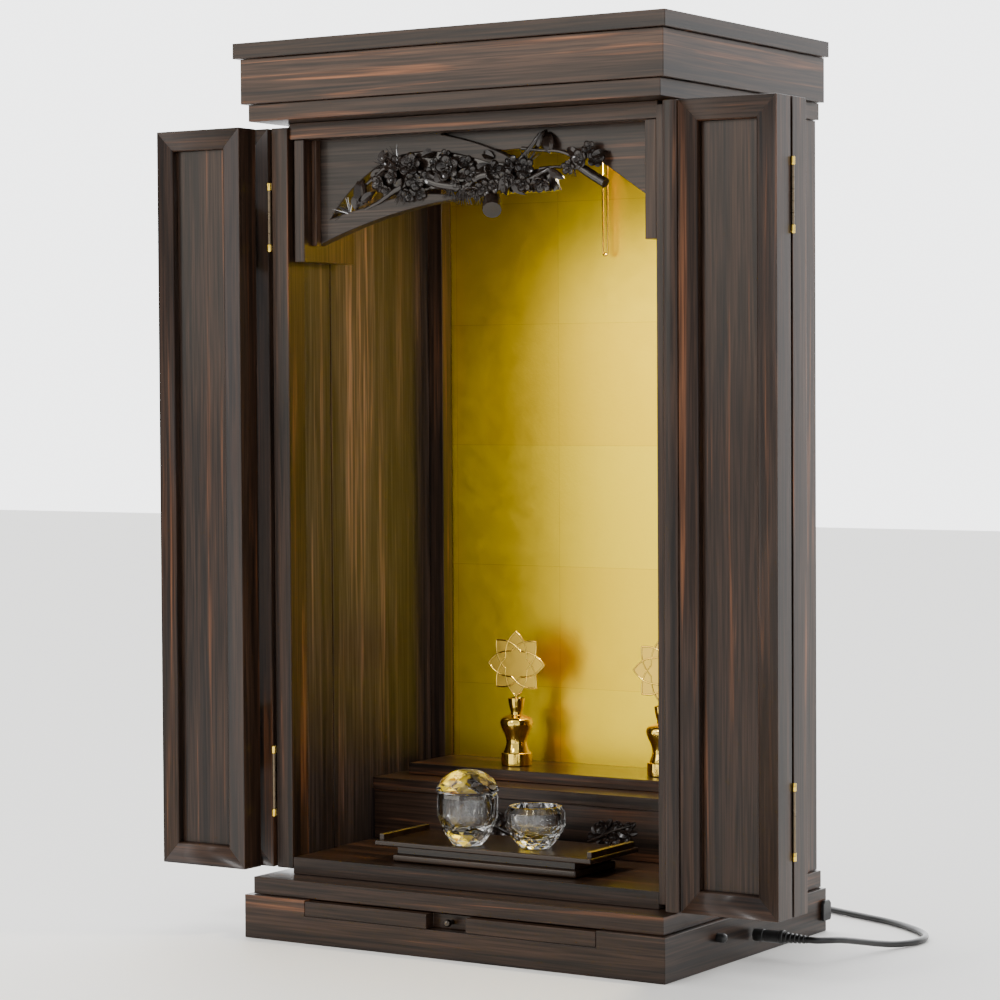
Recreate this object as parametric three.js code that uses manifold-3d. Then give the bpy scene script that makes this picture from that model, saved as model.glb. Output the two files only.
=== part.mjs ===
// A table-top household altar: a dark, straight-grained cabinet that stands open.
// Millimetres, +Z up, +X to the viewer's right, the front faces -Y. The origin is on the
// underside, in the middle of the width and of the depth.
import * as THREE from 'three';
import { mergeVertices } from 'three/addons/utils/BufferGeometryUtils.js';
import Module from 'manifold-3d';

const wasm = await Module();
wasm.setup();

// Overall sizes
const height = 760;
const depth = 283;
const gap = 0.3;

// Heights of the carcass, from the floor up
const lowerBaseTop = 36.8;
const upperBaseTop = 51.5;
const floorTop = 66;
const mouldingBottom = 694.2;
const fasciaBottom = 708.7;
const slabBottom = 746.9;

// Carcass in plan: half widths, and distances in front of the back face
const topHalf = 210;
const sideOuter = 197.1;
const sideInner = 184.5;
const stileInner = 181;
const sideDepth = 222;
const postInner = 180.5;
const postFront = 246;
const pillarInner = 169;
const goldFront = 10.5;

// Doors
const leafWidth = 100;
const leafThick = 23.5;
const leafRail = 17.5;
const panelRecess = 6;
const doorBottom = 56;
const doorTop = 690.5;
const hingeX = 199;
const foldX = 302;
const axisFront = 247.5;
const leafEdge = 2;

// Pull-out board in the plinth
const boardHalf = 142.5;
const boardLength = 190;
const boardBottom = 23.5;
const boardTop = 35.8;
const recessHalf = 19.3;
const recessDepth = 11;

// Boards inside
const shelfFront = 120;
const shelfBottom = 110.5;
const shelfTop = 121;
const upperFront = 86;
const upperTop = 131;
const riserFront = 118;
const riserSplit = 111;

// Transom between the cheeks
const transomHalf = 166.9;
const transomBack = 211;
const transomFront = 223;
const fieldFront = 217;
const carvingTolerance = 0.25;

// Lead
const cordRadius = 2.75;
const coilRadius = 30.25;
const coilCentre = [75, 205];
const inletY = 3.8;
const inletZ = 18;

const group = new THREE.Group();

// ---------------------------------------------------------------- materials

const finishes = {
  ebony: { color: '#3a302b', roughness: 0.42, metalness: 0 },
  goldLeaf: { color: '#d9b744', roughness: 0.38, metalness: 1 },
  brass: { color: '#c9a255', roughness: 0.25, metalness: 1 },
  gilt: { color: '#e0b04a', roughness: 0.15, metalness: 1 },
  crystal: { color: '#f4f6f8', roughness: 0.02, metalness: 0 },
  darkChrome: { color: '#4a4642', roughness: 0.2, metalness: 1 },
  blackPlastic: { color: '#161616', roughness: 0.45, metalness: 0 },
  blackRubber: { color: '#101010', roughness: 0.55, metalness: 0 },
};

function finish(name) {
  return new THREE.MeshStandardMaterial(finishes[name]);
}

// ---------------------------------------------------------------- helpers

// Row y of a point that lies a given distance in front of the back face.
function ahead(distance) {
  return depth / 2 - distance;
}

function place(name, geometry, finishName) {
  const mesh = new THREE.Mesh(geometry, finish(finishName));
  mesh.name = name;
  group.add(mesh);
  return mesh;
}

// A box geometry between two X values, two distances from the back and two heights.
function block(x0, x1, back, front, z0, z1) {
  const box = new THREE.BoxGeometry(x1 - x0, front - back, z1 - z0);
  box.translate((x0 + x1) / 2, ahead((back + front) / 2), (z0 + z1) / 2);
  return box;
}

// A plan outline, listed as [x, distance from the back], raised between two heights.
function raised(outline, z0, z1) {
  const shape = new THREE.Shape(outline.map(([x, front]) => new THREE.Vector2(x, ahead(front))));
  const solid = new THREE.ExtrudeGeometry(shape, { depth: z1 - z0, bevelEnabled: false });
  solid.translate(0, 0, z0);
  return solid;
}

// A shape drawn as the front sees it (x, z), given thickness between two distances.
function upright(shape, back, front, options = {}) {
  const solid = new THREE.ExtrudeGeometry(shape, {
    depth: front - back, bevelEnabled: false, curveSegments: 8, ...options,
  });
  solid.rotateX(Math.PI / 2);
  solid.translate(0, ahead(back), 0);
  return solid;
}

// A profile drawn as the side sees it (distance from the back, z), between two X values.
function sideways(outline, x0, x1) {
  const shape = new THREE.Shape(outline.map(([front, z]) => new THREE.Vector2(ahead(front), z)));
  const solid = new THREE.ExtrudeGeometry(shape, { depth: x1 - x0, bevelEnabled: false });
  solid.applyMatrix4(new THREE.Matrix4().set(0, 0, 1, x0, 1, 0, 0, 0, 0, 1, 0, 0, 0, 0, 0, 1));
  return solid;
}

// A turned profile, listed as [radius, height], standing at a plan point.
function turned(profile, x, y, z, segments) {
  const points = profile.map(([radius, up]) => new THREE.Vector2(radius, up));
  const solid = new THREE.LatheGeometry(points, segments);
  solid.rotateX(Math.PI / 2);
  solid.translate(x, y, z);
  return solid;
}

function toManifold(geometry) {
  const bare = geometry.index ? geometry.toNonIndexed() : geometry.clone();
  bare.deleteAttribute('normal');
  bare.deleteAttribute('uv');
  const merged = mergeVertices(bare, 1e-4);
  const mesh = new wasm.Mesh({
    numProp: 3,
    vertProperties: new Float32Array(merged.attributes.position.array),
    triVerts: new Uint32Array(merged.index.array),
  });
  return new wasm.Manifold(mesh);
}

function fromManifold(manifold) {
  const mesh = manifold.getMesh();
  const solid = new THREE.BufferGeometry();
  solid.setAttribute('position', new THREE.BufferAttribute(mesh.vertProperties, 3));
  solid.setIndex(new THREE.BufferAttribute(mesh.triVerts, 1));
  solid.computeVertexNormals();
  return solid;
}

// One solid from several. A tolerance above 0 also drops facets that are smaller than it.
function joined(geometries, tolerance = 0) {
  const whole = geometries.map(toManifold).reduce((sum, next) => sum.add(next));
  return fromManifold(tolerance > 0 ? whole.simplify(tolerance) : whole);
}

function cut(geometry, tools) {
  return fromManifold(tools.map(toManifold).reduce((whole, next) => whole.subtract(next),
    toManifold(geometry)));
}

// ---------------------------------------------------------------- carcass

function buildCornice() {
  place('top_slab', block(-topHalf, topHalf, 0, depth, slabBottom, height), 'ebony');
  const fascia = block(-205.5, 205.5, 0, 278, fasciaBottom, slabBottom - gap);
  const wall = 16;
  const hollow = block(-205.5 + wall, 205.5 - wall, wall, 278 - wall, fasciaBottom - 1, slabBottom + 1);
  place('cornice_fascia', cut(fascia, [hollow]), 'ebony');
  const board = block(-200.4, 200.4, 0, 273.8, mouldingBottom, fasciaBottom - gap);
  place('cornice_moulding', board, 'ebony');
}

function buildSides() {
  const grooveBack = 178.7;
  const grooveFront = 184.7;
  const grooveBottom = 187.5;
  for (const [side, sign] of [['left', -1], ['right', 1]]) {
    const outline = [
      [sideOuter, 0], [sideOuter, sideDepth], [stileInner, sideDepth], [stileInner, grooveFront],
      [grooveBottom, grooveFront], [grooveBottom, grooveBack], [sideInner, grooveBack], [sideInner, 0],
    ].map(([x, front]) => [sign * x, front]);
    place(`side_panel_${side}`, raised(outline, upperBaseTop + gap, mouldingBottom - gap), 'ebony');

    const post = [sign * postInner, sign * 197].sort((a, b) => a - b);
    place(`hinge_post_${side}`,
      block(post[0], post[1], sideDepth + gap, postFront, doorBottom, doorTop), 'ebony');

    const pillar = [sign * pillarInner, sign * (sideInner - gap)].sort((a, b) => a - b);
    place(`rear_pillar_${side}`,
      block(pillar[0], pillar[1], goldFront + gap, 26.5, floorTop + gap, mouldingBottom - gap), 'ebony');
  }
}

function buildBack() {
  const half = sideInner - gap;
  place('back_panel', block(-half, half, 0, 8, upperBaseTop + gap, mouldingBottom - gap), 'ebony');
  place('gold_leaf_panel',
    block(-half, half, 8 + gap, goldFront, floorTop + gap, mouldingBottom - gap), 'goldLeaf');
}

function buildPlinth() {
  place('upper_base',
    block(-200.9, 200.9, 0, 274.7, lowerBaseTop + gap, upperBaseTop), 'ebony');
  const lower = block(-205.8, 205.8, 0, 281.3, 0, lowerBaseTop);
  const slotBack = 281.3 - boardLength - 5;
  const slot = block(-boardHalf - 0.5, boardHalf + 0.5, slotBack, 290, boardBottom - 0.2, lowerBaseTop + 1);
  place('lower_base', cut(lower, [slot]), 'ebony');

  const wide = sideInner - gap;
  const narrow = stileInner - 0.5;
  const tongue = postInner - gap;
  const outline = [
    [-wide, 8 + gap], [wide, 8 + gap], [wide, 178.4], [narrow, 178.4], [narrow, sideDepth],
    [tongue, sideDepth], [tongue, 245.5], [-tongue, 245.5], [-tongue, sideDepth],
    [-narrow, sideDepth], [-narrow, 178.4], [-wide, 178.4],
  ];
  place('floor_slab', raised(outline, upperBaseTop + gap, floorTop), 'ebony');
}

function buildPullOut() {
  const front = 281.3;
  const board = block(-boardHalf, boardHalf, front - boardLength, front, boardBottom, boardTop);
  const finger = block(-recessHalf, recessHalf, front - recessDepth, front + 5,
    boardBottom - 1, boardTop + 1);
  place('pull_out_board', cut(board, [finger]), 'ebony');
  const knob = turned([[0, 0], [2, 0], [2, 4.5], [3.1, 5.5], [3.1, 9], [2.2, 10.5], [0, 10.7]], 0, 0, 0, 14);
  knob.rotateX(Math.PI / 2);
  knob.translate(0, ahead(front - recessDepth + gap), (boardBottom + boardTop) / 2);
  place('pull_out_knob', knob, 'darkChrome');
}

// ---------------------------------------------------------------- inside

function buildBoards() {
  const wide = sideInner - gap;
  const narrow = pillarInner - gap;
  const notch = 26.8;
  const outline = [
    [-narrow, goldFront + gap], [narrow, goldFront + gap], [narrow, notch], [wide, notch],
    [wide, shelfFront], [-wide, shelfFront], [-wide, notch], [-narrow, notch],
  ];
  place('lower_shelf', raised(outline, shelfBottom, shelfTop), 'ebony');
  place('upper_board',
    block(-narrow, narrow, goldFront + gap, upperFront, shelfTop + gap, upperTop), 'ebony');
}

// Five round lobes, drawn as one closed outline.
function blossomShape(radius, turn = 0) {
  const shape = new THREE.Shape();
  const steps = 15;
  for (let i = 0; i < steps; i += 1) {
    const angle = turn + (i * 2 * Math.PI) / steps;
    const lobe = radius * (0.8 + 0.2 * Math.cos(5 * (angle - turn)));
    const point = [lobe * Math.cos(angle), lobe * Math.sin(angle)];
    if (i === 0) shape.moveTo(...point);
    else shape.lineTo(...point);
  }
  shape.closePath();
  return shape;
}

// A blossom that faces the front: lobed petals and a domed heart.
function blossom(x, z, front, radius, turn) {
  const bevel = radius * 0.16;
  const petals = new THREE.ExtrudeGeometry(blossomShape(radius - bevel, turn), {
    depth: radius * 0.35, bevelEnabled: true, bevelSize: bevel, bevelThickness: bevel, bevelSegments: 1,
  });
  const heart = new THREE.SphereGeometry(radius * 0.3, 6, 3);
  heart.translate(0, 0, radius * 0.35 + bevel);
  const flower = joined([petals, heart]);
  flower.rotateX(Math.PI / 2);
  flower.translate(x, ahead(front), z);
  return flower;
}

// A pointed leaf with a raised rib, lying across the front.
function leaf(x, z, front, length, width, turn) {
  const outline = [[-0.5, 0], [-0.2, 0.42], [0.15, 0.5], [0.5, 0], [0.15, -0.5], [-0.2, -0.42]];
  const shape = new THREE.Shape(outline.map(([u, v]) => new THREE.Vector2(u * length, v * width)));
  const blade = new THREE.ExtrudeGeometry(shape, {
    depth: 2.2, bevelEnabled: true, bevelSize: width * 0.12, bevelThickness: 1, bevelSegments: 1,
  });
  blade.rotateZ(turn);
  blade.rotateX(Math.PI / 2);
  blade.translate(x, ahead(front), z);
  return blade;
}

// A round section with a few straight sides, for tubes along a path.
function roundSection(radius, sides) {
  const section = new THREE.Shape();
  for (let i = 0; i < sides; i += 1) {
    const angle = (i * 2 * Math.PI) / sides;
    if (i === 0) section.moveTo(radius, 0);
    else section.lineTo(radius * Math.cos(angle), radius * Math.sin(angle));
  }
  section.closePath();
  return section;
}

// A bough along points listed as [x, distance from the back, z].
function bough(points, radius, sides, steps) {
  const path = new THREE.CatmullRomCurve3(
    points.map(([x, front, z]) => new THREE.Vector3(x, ahead(front), z)));
  return new THREE.ExtrudeGeometry(roundSection(radius, sides), { steps, extrudePath: path });
}

function buildRiser() {
  const top = shelfBottom - gap;
  const face = block(-riserSplit + 0.8, riserSplit - 0.8, riserFront - 12, riserFront, floorTop + gap, top);
  const pieces = [face];
  for (const sign of [-1, 1]) {
    pieces.push(bough([[sign * 39, riserFront, 80], [sign * 55, riserFront + 1, 86],
      [sign * 70, riserFront + 1, 92], [sign * 84, riserFront, 96]], 1.6, 5, 6));
    pieces.push(blossom(sign * 52, 92, riserFront - 0.5, 7.5, 0.3));
    pieces.push(blossom(sign * 67, 84, riserFront - 0.5, 6.5, 0.9));
    pieces.push(leaf(sign * 77, 90, riserFront - 0.5, 13, 6, 0.5 * sign));
    pieces.push(leaf(sign * 44, 82, riserFront - 0.5, 11, 5, -0.4 * sign));
  }
  place('riser_front', joined(pieces, carvingTolerance), 'ebony');
  for (const [side, sign] of [['left', -1], ['right', 1]]) {
    const ends = [sign * (riserSplit + 0.8), sign * (sideInner - gap)].sort((a, b) => a - b);
    place(`riser_side_${side}`,
      block(ends[0], ends[1], riserFront - 12, riserFront, floorTop + gap, top), 'ebony');
  }
}

function buildHanger() {
  const half = 3.2;
  const bottom = 583;
  const shape = new THREE.Shape();
  shape.moveTo(-half, mouldingBottom - gap);
  shape.lineTo(-half, bottom + half);
  shape.absarc(0, bottom + half, half, Math.PI, 2 * Math.PI, false);
  shape.lineTo(half, mouldingBottom - gap);
  shape.closePath();
  place('scroll_hanger', upright(shape, 17.5, 21.5), 'gilt');
}

// ---------------------------------------------------------------- head of the opening

function buildHead() {
  place('header_rail',
    block(-180.2, 180.2, transomFront + gap, 243, 680, mouldingBottom - gap), 'ebony');
  for (const [side, sign, bottom] of [['left', -1, 576], ['right', 1, 585]]) {
    const ends = [sign * 167.3, sign * 177.5].sort((a, b) => a - b);
    const profile = [
      [167, bottom], [240.5, bottom], [240.5, 680 - gap], [transomFront, 680 - gap],
      [transomFront, mouldingBottom - gap], [167, mouldingBottom - gap],
    ];
    place(`cheek_${side}`, sideways(profile, ends[0], ends[1]), 'ebony');
  }
  place('transom_batten',
    block(-transomHalf, -transomHalf + 5, transomFront + gap, 230, 590, 680 - gap), 'ebony');
}

// The crescent board: a broad left side that runs out into an upper and a lower horn.
function crescentShape() {
  const shape = new THREE.Shape();
  const top = mouldingBottom - gap;
  shape.moveTo(-transomHalf, top);
  shape.lineTo(-transomHalf, 590);
  shape.quadraticCurveTo(-87, 620.5, -15, 625.5);
  shape.quadraticCurveTo(-60, 637, -110, 622.5);
  shape.quadraticCurveTo(-135, 618, -152, 612.8);
  shape.quadraticCurveTo(-126, 648, -88, 661);
  shape.quadraticCurveTo(-48, 673, 8, 653.5);
  shape.lineTo(40, 651);
  shape.quadraticCurveTo(12, 669, -38, 679.3);
  shape.lineTo(-38, top);
  shape.closePath();
  return shape;
}

// The field on the right, set back, with a sloping and rounded lower edge.
function fieldShape() {
  const shape = new THREE.Shape();
  const top = mouldingBottom - gap;
  shape.moveTo(-60, top);
  shape.lineTo(-60, 678);
  shape.lineTo(20, 668);
  shape.quadraticCurveTo(85, 671, 120, 646);
  shape.quadraticCurveTo(142, 631, transomHalf, 613.5);
  shape.lineTo(transomHalf, top);
  shape.closePath();
  return shape;
}

// The dense ground of the carving between the crescent's horns, under the blossoms.
function groundShape() {
  return new THREE.Shape([
    [-102, 645], [-90, 660], [-58, 666], [-26, 662.5], [10, 655], [36, 653], [50, 643], [24, 634],
    [-4, 631], [-36, 636], [-62, 632], [-80, 629], [-96, 633],
  ].map(([x, z]) => new THREE.Vector2(x, z)));
}

// Pine needles that hang from the middle of the branch and are cut off straight below.
function fringeShape() {
  return new THREE.Shape([
    [18, 640], [21, 627.8], [30, 626.8], [38, 628], [46, 626.9], [54, 628.2], [62, 627], [76, 627.6],
    [73, 634], [72, 641], [66, 647], [44, 646], [28, 646],
  ].map(([x, z]) => new THREE.Vector2(x, z)));
}

const blossoms = [
  // x, z, radius, turn
  [-30, 650, 13, 0.2], [-86, 652, 11, 0.9], [-66, 648, 10, 0.1], [22, 647, 13, 0.5],
  [47, 637, 12, 1.0], [-8, 629, 13, 0.7], [97, 653, 11, 0.4], [-66, 627, 8, 0.6],
  [111, 656, 8, 0.2], [-50, 661, 8, 0.8], [-8, 650, 9, 0.3], [58, 641, 8, 0.2],
];

const leaves = [
  // x, z, length, width, turn
  [-138, 621, 22, 9, 0.9], [-118, 627, 24, 9, 1.5], [-104, 641, 20, 8, 0.6], [-92, 668, 20, 9, 0.8],
  [-96, 636, 18, 7, 1.2], [-12, 661, 18, 8, -0.5], [38, 655, 24, 11, 1.4], [57, 668, 22, 8, 1.5],
  [88, 660, 18, 8, 1.1], [-44, 634, 22, 8, -0.6],
];

const boughs = [
  { points: [[-118, 221, 619], [-84, 223, 630], [-45, 225, 643], [-10, 224, 636]], radius: 3.6 },
  { points: [[-14, 223, 634], [15, 224, 641], [48, 225, 640], [68, 223, 645]], radius: 5 },
  { points: [[58, 222, 647], [72, 223, 647.5], [90, 223, 649]], radius: 1.4 },
  { points: [[86, 223, 656], [103, 225, 645], [123, 226, 631.5]], radius: 4.2 },
  { points: [[-82, 221, 655], [-60, 224, 648], [-36, 224, 655]], radius: 3 },
  { points: [[6, 218, 628], [10.5, 226, 620], [15, 233, 612.5]], radius: 8.3 },
  { points: [[30, 221, 648], [42, 222, 661], [56, 221, 676]], radius: 2.6 },
];

function buildTransom() {
  const pieces = [
    upright(crescentShape(), transomBack, transomFront),
    upright(fieldShape(), transomBack, fieldFront),
    upright(groundShape(), transomBack + 2, transomFront - 1.5),
    upright(fringeShape(), fieldFront - 1, transomFront + 1),
  ];
  for (const { points, radius } of boughs) {
    pieces.push(bough(points, radius, radius > 6 ? 10 : 6, radius > 6 ? 2 : 6));
  }
  blossoms.forEach(([x, z, radius, turn]) => pieces.push(blossom(x, z, 221, radius, turn)));
  leaves.forEach(([x, z, length, width, turn]) => {
    pieces.push(leaf(x, z, 219.5, length, width, turn));
  });
  place('transom', joined(pieces, carvingTolerance), 'ebony');
}

// ---------------------------------------------------------------- doors

// One leaf: a frame of stiles and rails round a panel that is set back on both faces.
function buildLeaf(name, sign, x0, x1, back) {
  const [low, high] = [sign * x0, sign * x1].sort((a, b) => a - b);
  const outer = block(low, high, back, back + leafThick, doorBottom, doorTop);
  const sight = block(low + leafRail, high - leafRail, back - 1, back + leafThick + 1,
    doorBottom + leafRail + 1, doorTop - leafRail);
  place(`${name}_frame`, cut(outer, [sight]), 'ebony');
  place(`${name}_panel`, block(low + leafRail + gap, high - leafRail - gap,
    back + panelRecess, back + leafThick - panelRecess,
    doorBottom + leafRail + 1 + gap, doorTop - leafRail - gap), 'ebony');
}

// A hinge: a slim barrel with a plain cap at each end, and the plate that is screwed to the wood.
// The plate is listed as its two distances from the axis and its back and front.
function buildHinge(name, sign, axisX, [near, far, back, front], z0, z1, radius, cap) {
  const tall = z1 - z0;
  const profile = [
    [0, 0], [cap * 0.7, 0], [cap, 0.8], [cap, 6.4], [radius, 7],
    [radius, tall - 7], [cap, tall - 6.4], [cap, tall - 0.8], [cap * 0.7, tall], [0, tall],
  ];
  const barrel = turned(profile, sign * axisX, ahead(axisFront), z0, 8);
  const [low, high] = [sign * (axisX - near), sign * (axisX - far)].sort((a, b) => a - b);
  const plate = block(low, high, back, front, z0 + 7.5, z1 - 7.5);
  place(name, joined([barrel, plate]), 'brass');
}

function buildDoors() {
  const ranges = [['upper', 585, 644], ['lower', 100, 161]];
  const postPlate = [1.6, 0.9, axisFront - 21, axisFront];
  const foldPlate = [21, 0.5, postFront + gap, axisFront - gap];
  for (const [side, sign] of [['left', -1], ['right', 1]]) {
    const innerStart = hingeX + leafEdge;
    const innerEnd = innerStart + leafWidth;
    const outerStart = side === 'left' ? 212 : 215;
    buildLeaf(`inner_door_${side}`, sign, innerStart, innerEnd, postFront - leafThick);
    buildLeaf(`outer_door_${side}`, sign, outerStart, innerEnd, axisFront + 1.5);
    for (const [level, z0, z1] of ranges) {
      buildHinge(`post_hinge_${level}_${side}`, sign, hingeX, postPlate, z0, z1, 1.5, 2.1);
      buildHinge(`fold_hinge_${level}_${side}`, sign, foldX, foldPlate, z0, z1, 1.3, 1.7);
    }
  }
  const strip = [[202, 249], [202, 273.5], [204, 275.1], [208.5, 275.5], [213, 275.1], [215 - gap, 273.5],
    [215 - gap, 249]];
  place('meeting_strip', raised(strip, doorBottom, doorTop), 'ebony');
}

// ---------------------------------------------------------------- lead

function buildInlet() {
  const low = inletZ - 8.5;
  const high = inletZ + 9;
  const back = inletY + 7.2;
  const front = inletY - 7.2;
  const outline = [
    [front + 1.5, low], [back - 1.5, low], [back, low + 1.5], [back, high - 3], [back - 3, high],
    [front + 3, high], [front, high - 3], [front, low + 1.5],
  ];
  const flange = sideways(outline, 206.1, 209.1);
  place('power_inlet', flange, 'blackPlastic');

  const along = (profile, x, y, z, segments) => {
    const solid = turned(profile, 0, 0, 0, segments);
    solid.rotateY(Math.PI / 2);
    solid.translate(x, y, z);
    return solid;
  };
  place('side_knob', along([[0, 0], [3.8, 0], [3.8, 5.5], [2.8, 7.6], [0, 8]], 206.1, ahead(195.2), 24, 12),
    'blackPlastic');
  place('cord_plug', along([[0, 0], [5.2, 0], [5.2, 23.5], [5.8, 24], [5.8, 27], [5, 27.5], [0, 27.5]],
    209.4, inletY, inletZ, 14), 'blackPlastic');
  place('strain_relief', along([[0, 0], [4.6, 0], [4.3, 7], [3.7, 14], [3.1, 20], [0, 20]],
    237.2, inletY, inletZ, 12), 'blackRubber');
}

function buildCord() {
  const [cx, cy] = coilCentre;
  const outerTurn = coilRadius + 1.5 * 2 * cordRadius;
  const route = [
    [257.5, inletY, inletZ], [265, 4.6, 18], [272, 11, 17.8], [276.5, 23, 16.6], [280, 38, 14],
    [283.5, 55, 10.6], [288, 74, 6.8], [293.5, 92, 4], [299, 108, 2.9], [302, 124, 2.8],
    [299, 141, 2.8], [288.5, 158, 2.8], [271, 174, 2.8], [246, 191, 2.8], [216, 204.5, 2.8],
    [190, 215.5, 2.8], [163, 227, 2.8], [138, 236, 2.8], [116, 241.6, 2.8],
    [cx + 21.5, cy + outerTurn, 2.8],
  ].map(([x, y, z]) => new THREE.Vector3(x, y, z));
  const tube = new THREE.ExtrudeGeometry(roundSection(cordRadius, 8), {
    steps: 34, extrudePath: new THREE.CatmullRomCurve3(route, false, 'centripetal'),
  });
  place('cord', tube, 'blackRubber');

  const inner = coilRadius - 4 * cordRadius;
  const outer = coilRadius + 4 * cordRadius;
  const coil = turned([[inner, 0], [outer, 0], [outer, 6], [outer - 3, 15.5], [inner + 4, 15.5],
    [inner, 10], [inner, 0]], cx, cy, 0, 24);
  place('cord_coil', coil, 'blackRubber');
}

function buildMainsPlug() {
  const [cx, cy] = coilCentre;
  const y = cy + coilRadius + 3 * cordRadius;
  const z = 8;
  const start = cx - 21.6;
  const neck = turned([[0, 0], [3.1, 0], [5.2, 20], [5.2, 24], [0, 24]], 0, 0, 0, 10);
  neck.rotateY(-Math.PI / 2);
  neck.translate(start, y, z);
  const body = new THREE.Shape();
  body.moveTo(0, -7);
  body.lineTo(-6, -12);
  body.lineTo(-30, -12);
  body.lineTo(-30, 12);
  body.lineTo(-6, 12);
  body.lineTo(0, 7);
  body.closePath();
  const shell = new THREE.ExtrudeGeometry(body, { depth: 16, bevelEnabled: false });
  shell.translate(start - 21, y, 0);
  const pins = [-6.35, 6.35].map((offset) => {
    const pin = new THREE.BoxGeometry(18, 1.5, 6.3);
    pin.translate(start - 21 - 30 - 8, y + offset, z);
    return pin;
  });
  place('mains_plug', joined([neck, shell, ...pins]), 'blackPlastic');
}

// ---------------------------------------------------------------- fittings

// A long petal, tip to tip along Z: full at the shoulders and pointed at both tips.
function petalShape(tip, half, steps) {
  const shape = new THREE.Shape();
  shape.moveTo(0, -tip);
  for (let i = 1; i < 2 * steps; i += 1) {
    const along = -Math.cos((i * Math.PI) / steps);
    const width = half * (1 - Math.abs(along) ** 3.3) * (i < steps ? 1 : -1);
    if (i === steps) shape.lineTo(0, tip);
    else shape.lineTo(width, along * tip);
  }
  shape.closePath();
  return shape;
}

// A gilt lotus: four long petals laid over each other give eight tips.
function buildLotus(side, x) {
  const y = ahead(52);
  const foot = upperTop + gap;
  const profile = [
    [0, 4], [10.5, 4], [6.6, 20], [12, 39], [10, 42], [3.7, 45], [3.7, 48], [6.3, 60],
    [7.8, 60], [6, 48], [5.2, 45], [11.5, 43], [14.8, 39], [11, 28], [9.3, 20], [11.6, 12.3],
    [13.9, 11.4], [13.9, 0], [0, 0],
  ].reverse();
  place(`lotus_vase_${side}`, turned(profile, x, y, foot, 12), 'gilt');

  const tip = 30.2;
  const half = 12.2;
  const centre = 221.6;
  const pieces = [];
  for (let i = 0; i < 4; i += 1) {
    const disc = new THREE.ExtrudeGeometry(petalShape(tip, half, 6), { depth: 1.4, bevelEnabled: false });
    disc.rotateZ((i * Math.PI) / 4);
    disc.rotateX(Math.PI / 2);
    disc.translate(x, y + 0.7, centre);
    pieces.push(disc);
  }
  const stem = new THREE.CylinderGeometry(1.6, 1.6, 60, 8);
  stem.rotateX(Math.PI / 2);
  stem.translate(x, y, centre - tip + 4 - 30);
  pieces.push(stem);
  place(`lotus_flower_${side}`, joined(pieces), 'gilt');
}

function buildTray() {
  const shapes = [
    block(-107, 107, 150, 229, 79.5, 84),
    block(-88, 88, 163, 222, 72, 80),
    block(-91, 91, 160, 226, floorTop + gap, 73),
    block(-105, -100.5, 154, 224, 83, 89),
    block(100.5, 105, 154, 224, 83, 89),
  ];
  place('offering_tray', joined(shapes), 'ebony');
}

function buildCrystal() {
  const cupX = -23;
  const cupY = ahead(212);
  const top = 84 + gap;
  place('crystal_cup', turned([[0, 13], [12, 15], [19, 25], [19.5, 44], [24.8, 44], [25.7, 40], [25.7, 25],
    [19, 9], [12.5, 0], [0, 0]].reverse(), cupX, cupY, top, 14), 'crystal');
  place('crystal_cup_lid', turned([[0, 0], [26.6, 0], [26.8, 3], [22, 11.4], [14, 17], [0, 18.8]],
    cupX, cupY, top + 44 + gap, 14), 'crystal');
  place('crystal_bowl', turned([[0, 10.5], [11, 12], [19, 20], [19.5, 35], [22.6, 35], [25.2, 30],
    [25.2, 18.5], [19, 8], [12.5, 0], [0, 0]].reverse(), 35, ahead(198), top, 14), 'crystal');
}

buildCornice();
buildSides();
buildBack();
buildPlinth();
buildPullOut();
buildBoards();
buildRiser();
buildHanger();
buildHead();
buildTransom();
buildDoors();
buildInlet();
buildCord();
buildMainsPlug();
buildLotus('left', -75);
buildLotus('right', 75);
buildTray();
buildCrystal();

export default group;
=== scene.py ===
# %% [markdown]
# # A household altar cabinet
# The real object is a small cupboard of dark, striped wood that stands on a sideboard. Its two
# bi-fold doors are open, so light falls on a back covered with gold leaf, on a carved plum branch
# at the head of the opening and on the vessels inside. The solid model is already measured and
# joined. What is added here is what the eye sees: grain, lacquer, leaf, brass, cut glass, carving
# and a lead of its real length. All sizes below are in metres unless a name says millimetres.

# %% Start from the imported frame
import math
import random
import bmesh
import bpy
from mathutils import Matrix, Vector


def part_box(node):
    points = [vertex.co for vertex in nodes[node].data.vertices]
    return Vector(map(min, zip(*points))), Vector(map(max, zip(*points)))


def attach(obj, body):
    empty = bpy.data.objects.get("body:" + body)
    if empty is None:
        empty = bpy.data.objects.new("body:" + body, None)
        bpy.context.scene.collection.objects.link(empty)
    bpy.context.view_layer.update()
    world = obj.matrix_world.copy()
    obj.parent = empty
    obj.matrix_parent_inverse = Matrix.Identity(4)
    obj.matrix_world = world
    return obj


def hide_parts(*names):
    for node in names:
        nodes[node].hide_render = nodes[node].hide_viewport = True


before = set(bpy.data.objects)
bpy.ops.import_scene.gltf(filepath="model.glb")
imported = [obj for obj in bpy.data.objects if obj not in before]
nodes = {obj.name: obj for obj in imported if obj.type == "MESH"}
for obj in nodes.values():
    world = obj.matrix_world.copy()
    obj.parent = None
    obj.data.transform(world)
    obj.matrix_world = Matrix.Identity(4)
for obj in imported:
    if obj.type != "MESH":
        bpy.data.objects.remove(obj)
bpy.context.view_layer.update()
MM = 0.001
bpy.ops.object.select_all(action="DESELECT")

# %% [markdown]
# The camera comes first, then the lead, because the lead's stored length has to lie where the
# cabinet hides it. A long lens from the right, a little above the middle of the cabinet, keeps
# the uprights almost parallel. Its direction is built from yaw, pitch and roll, so each angle can
# be changed on its own.

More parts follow.
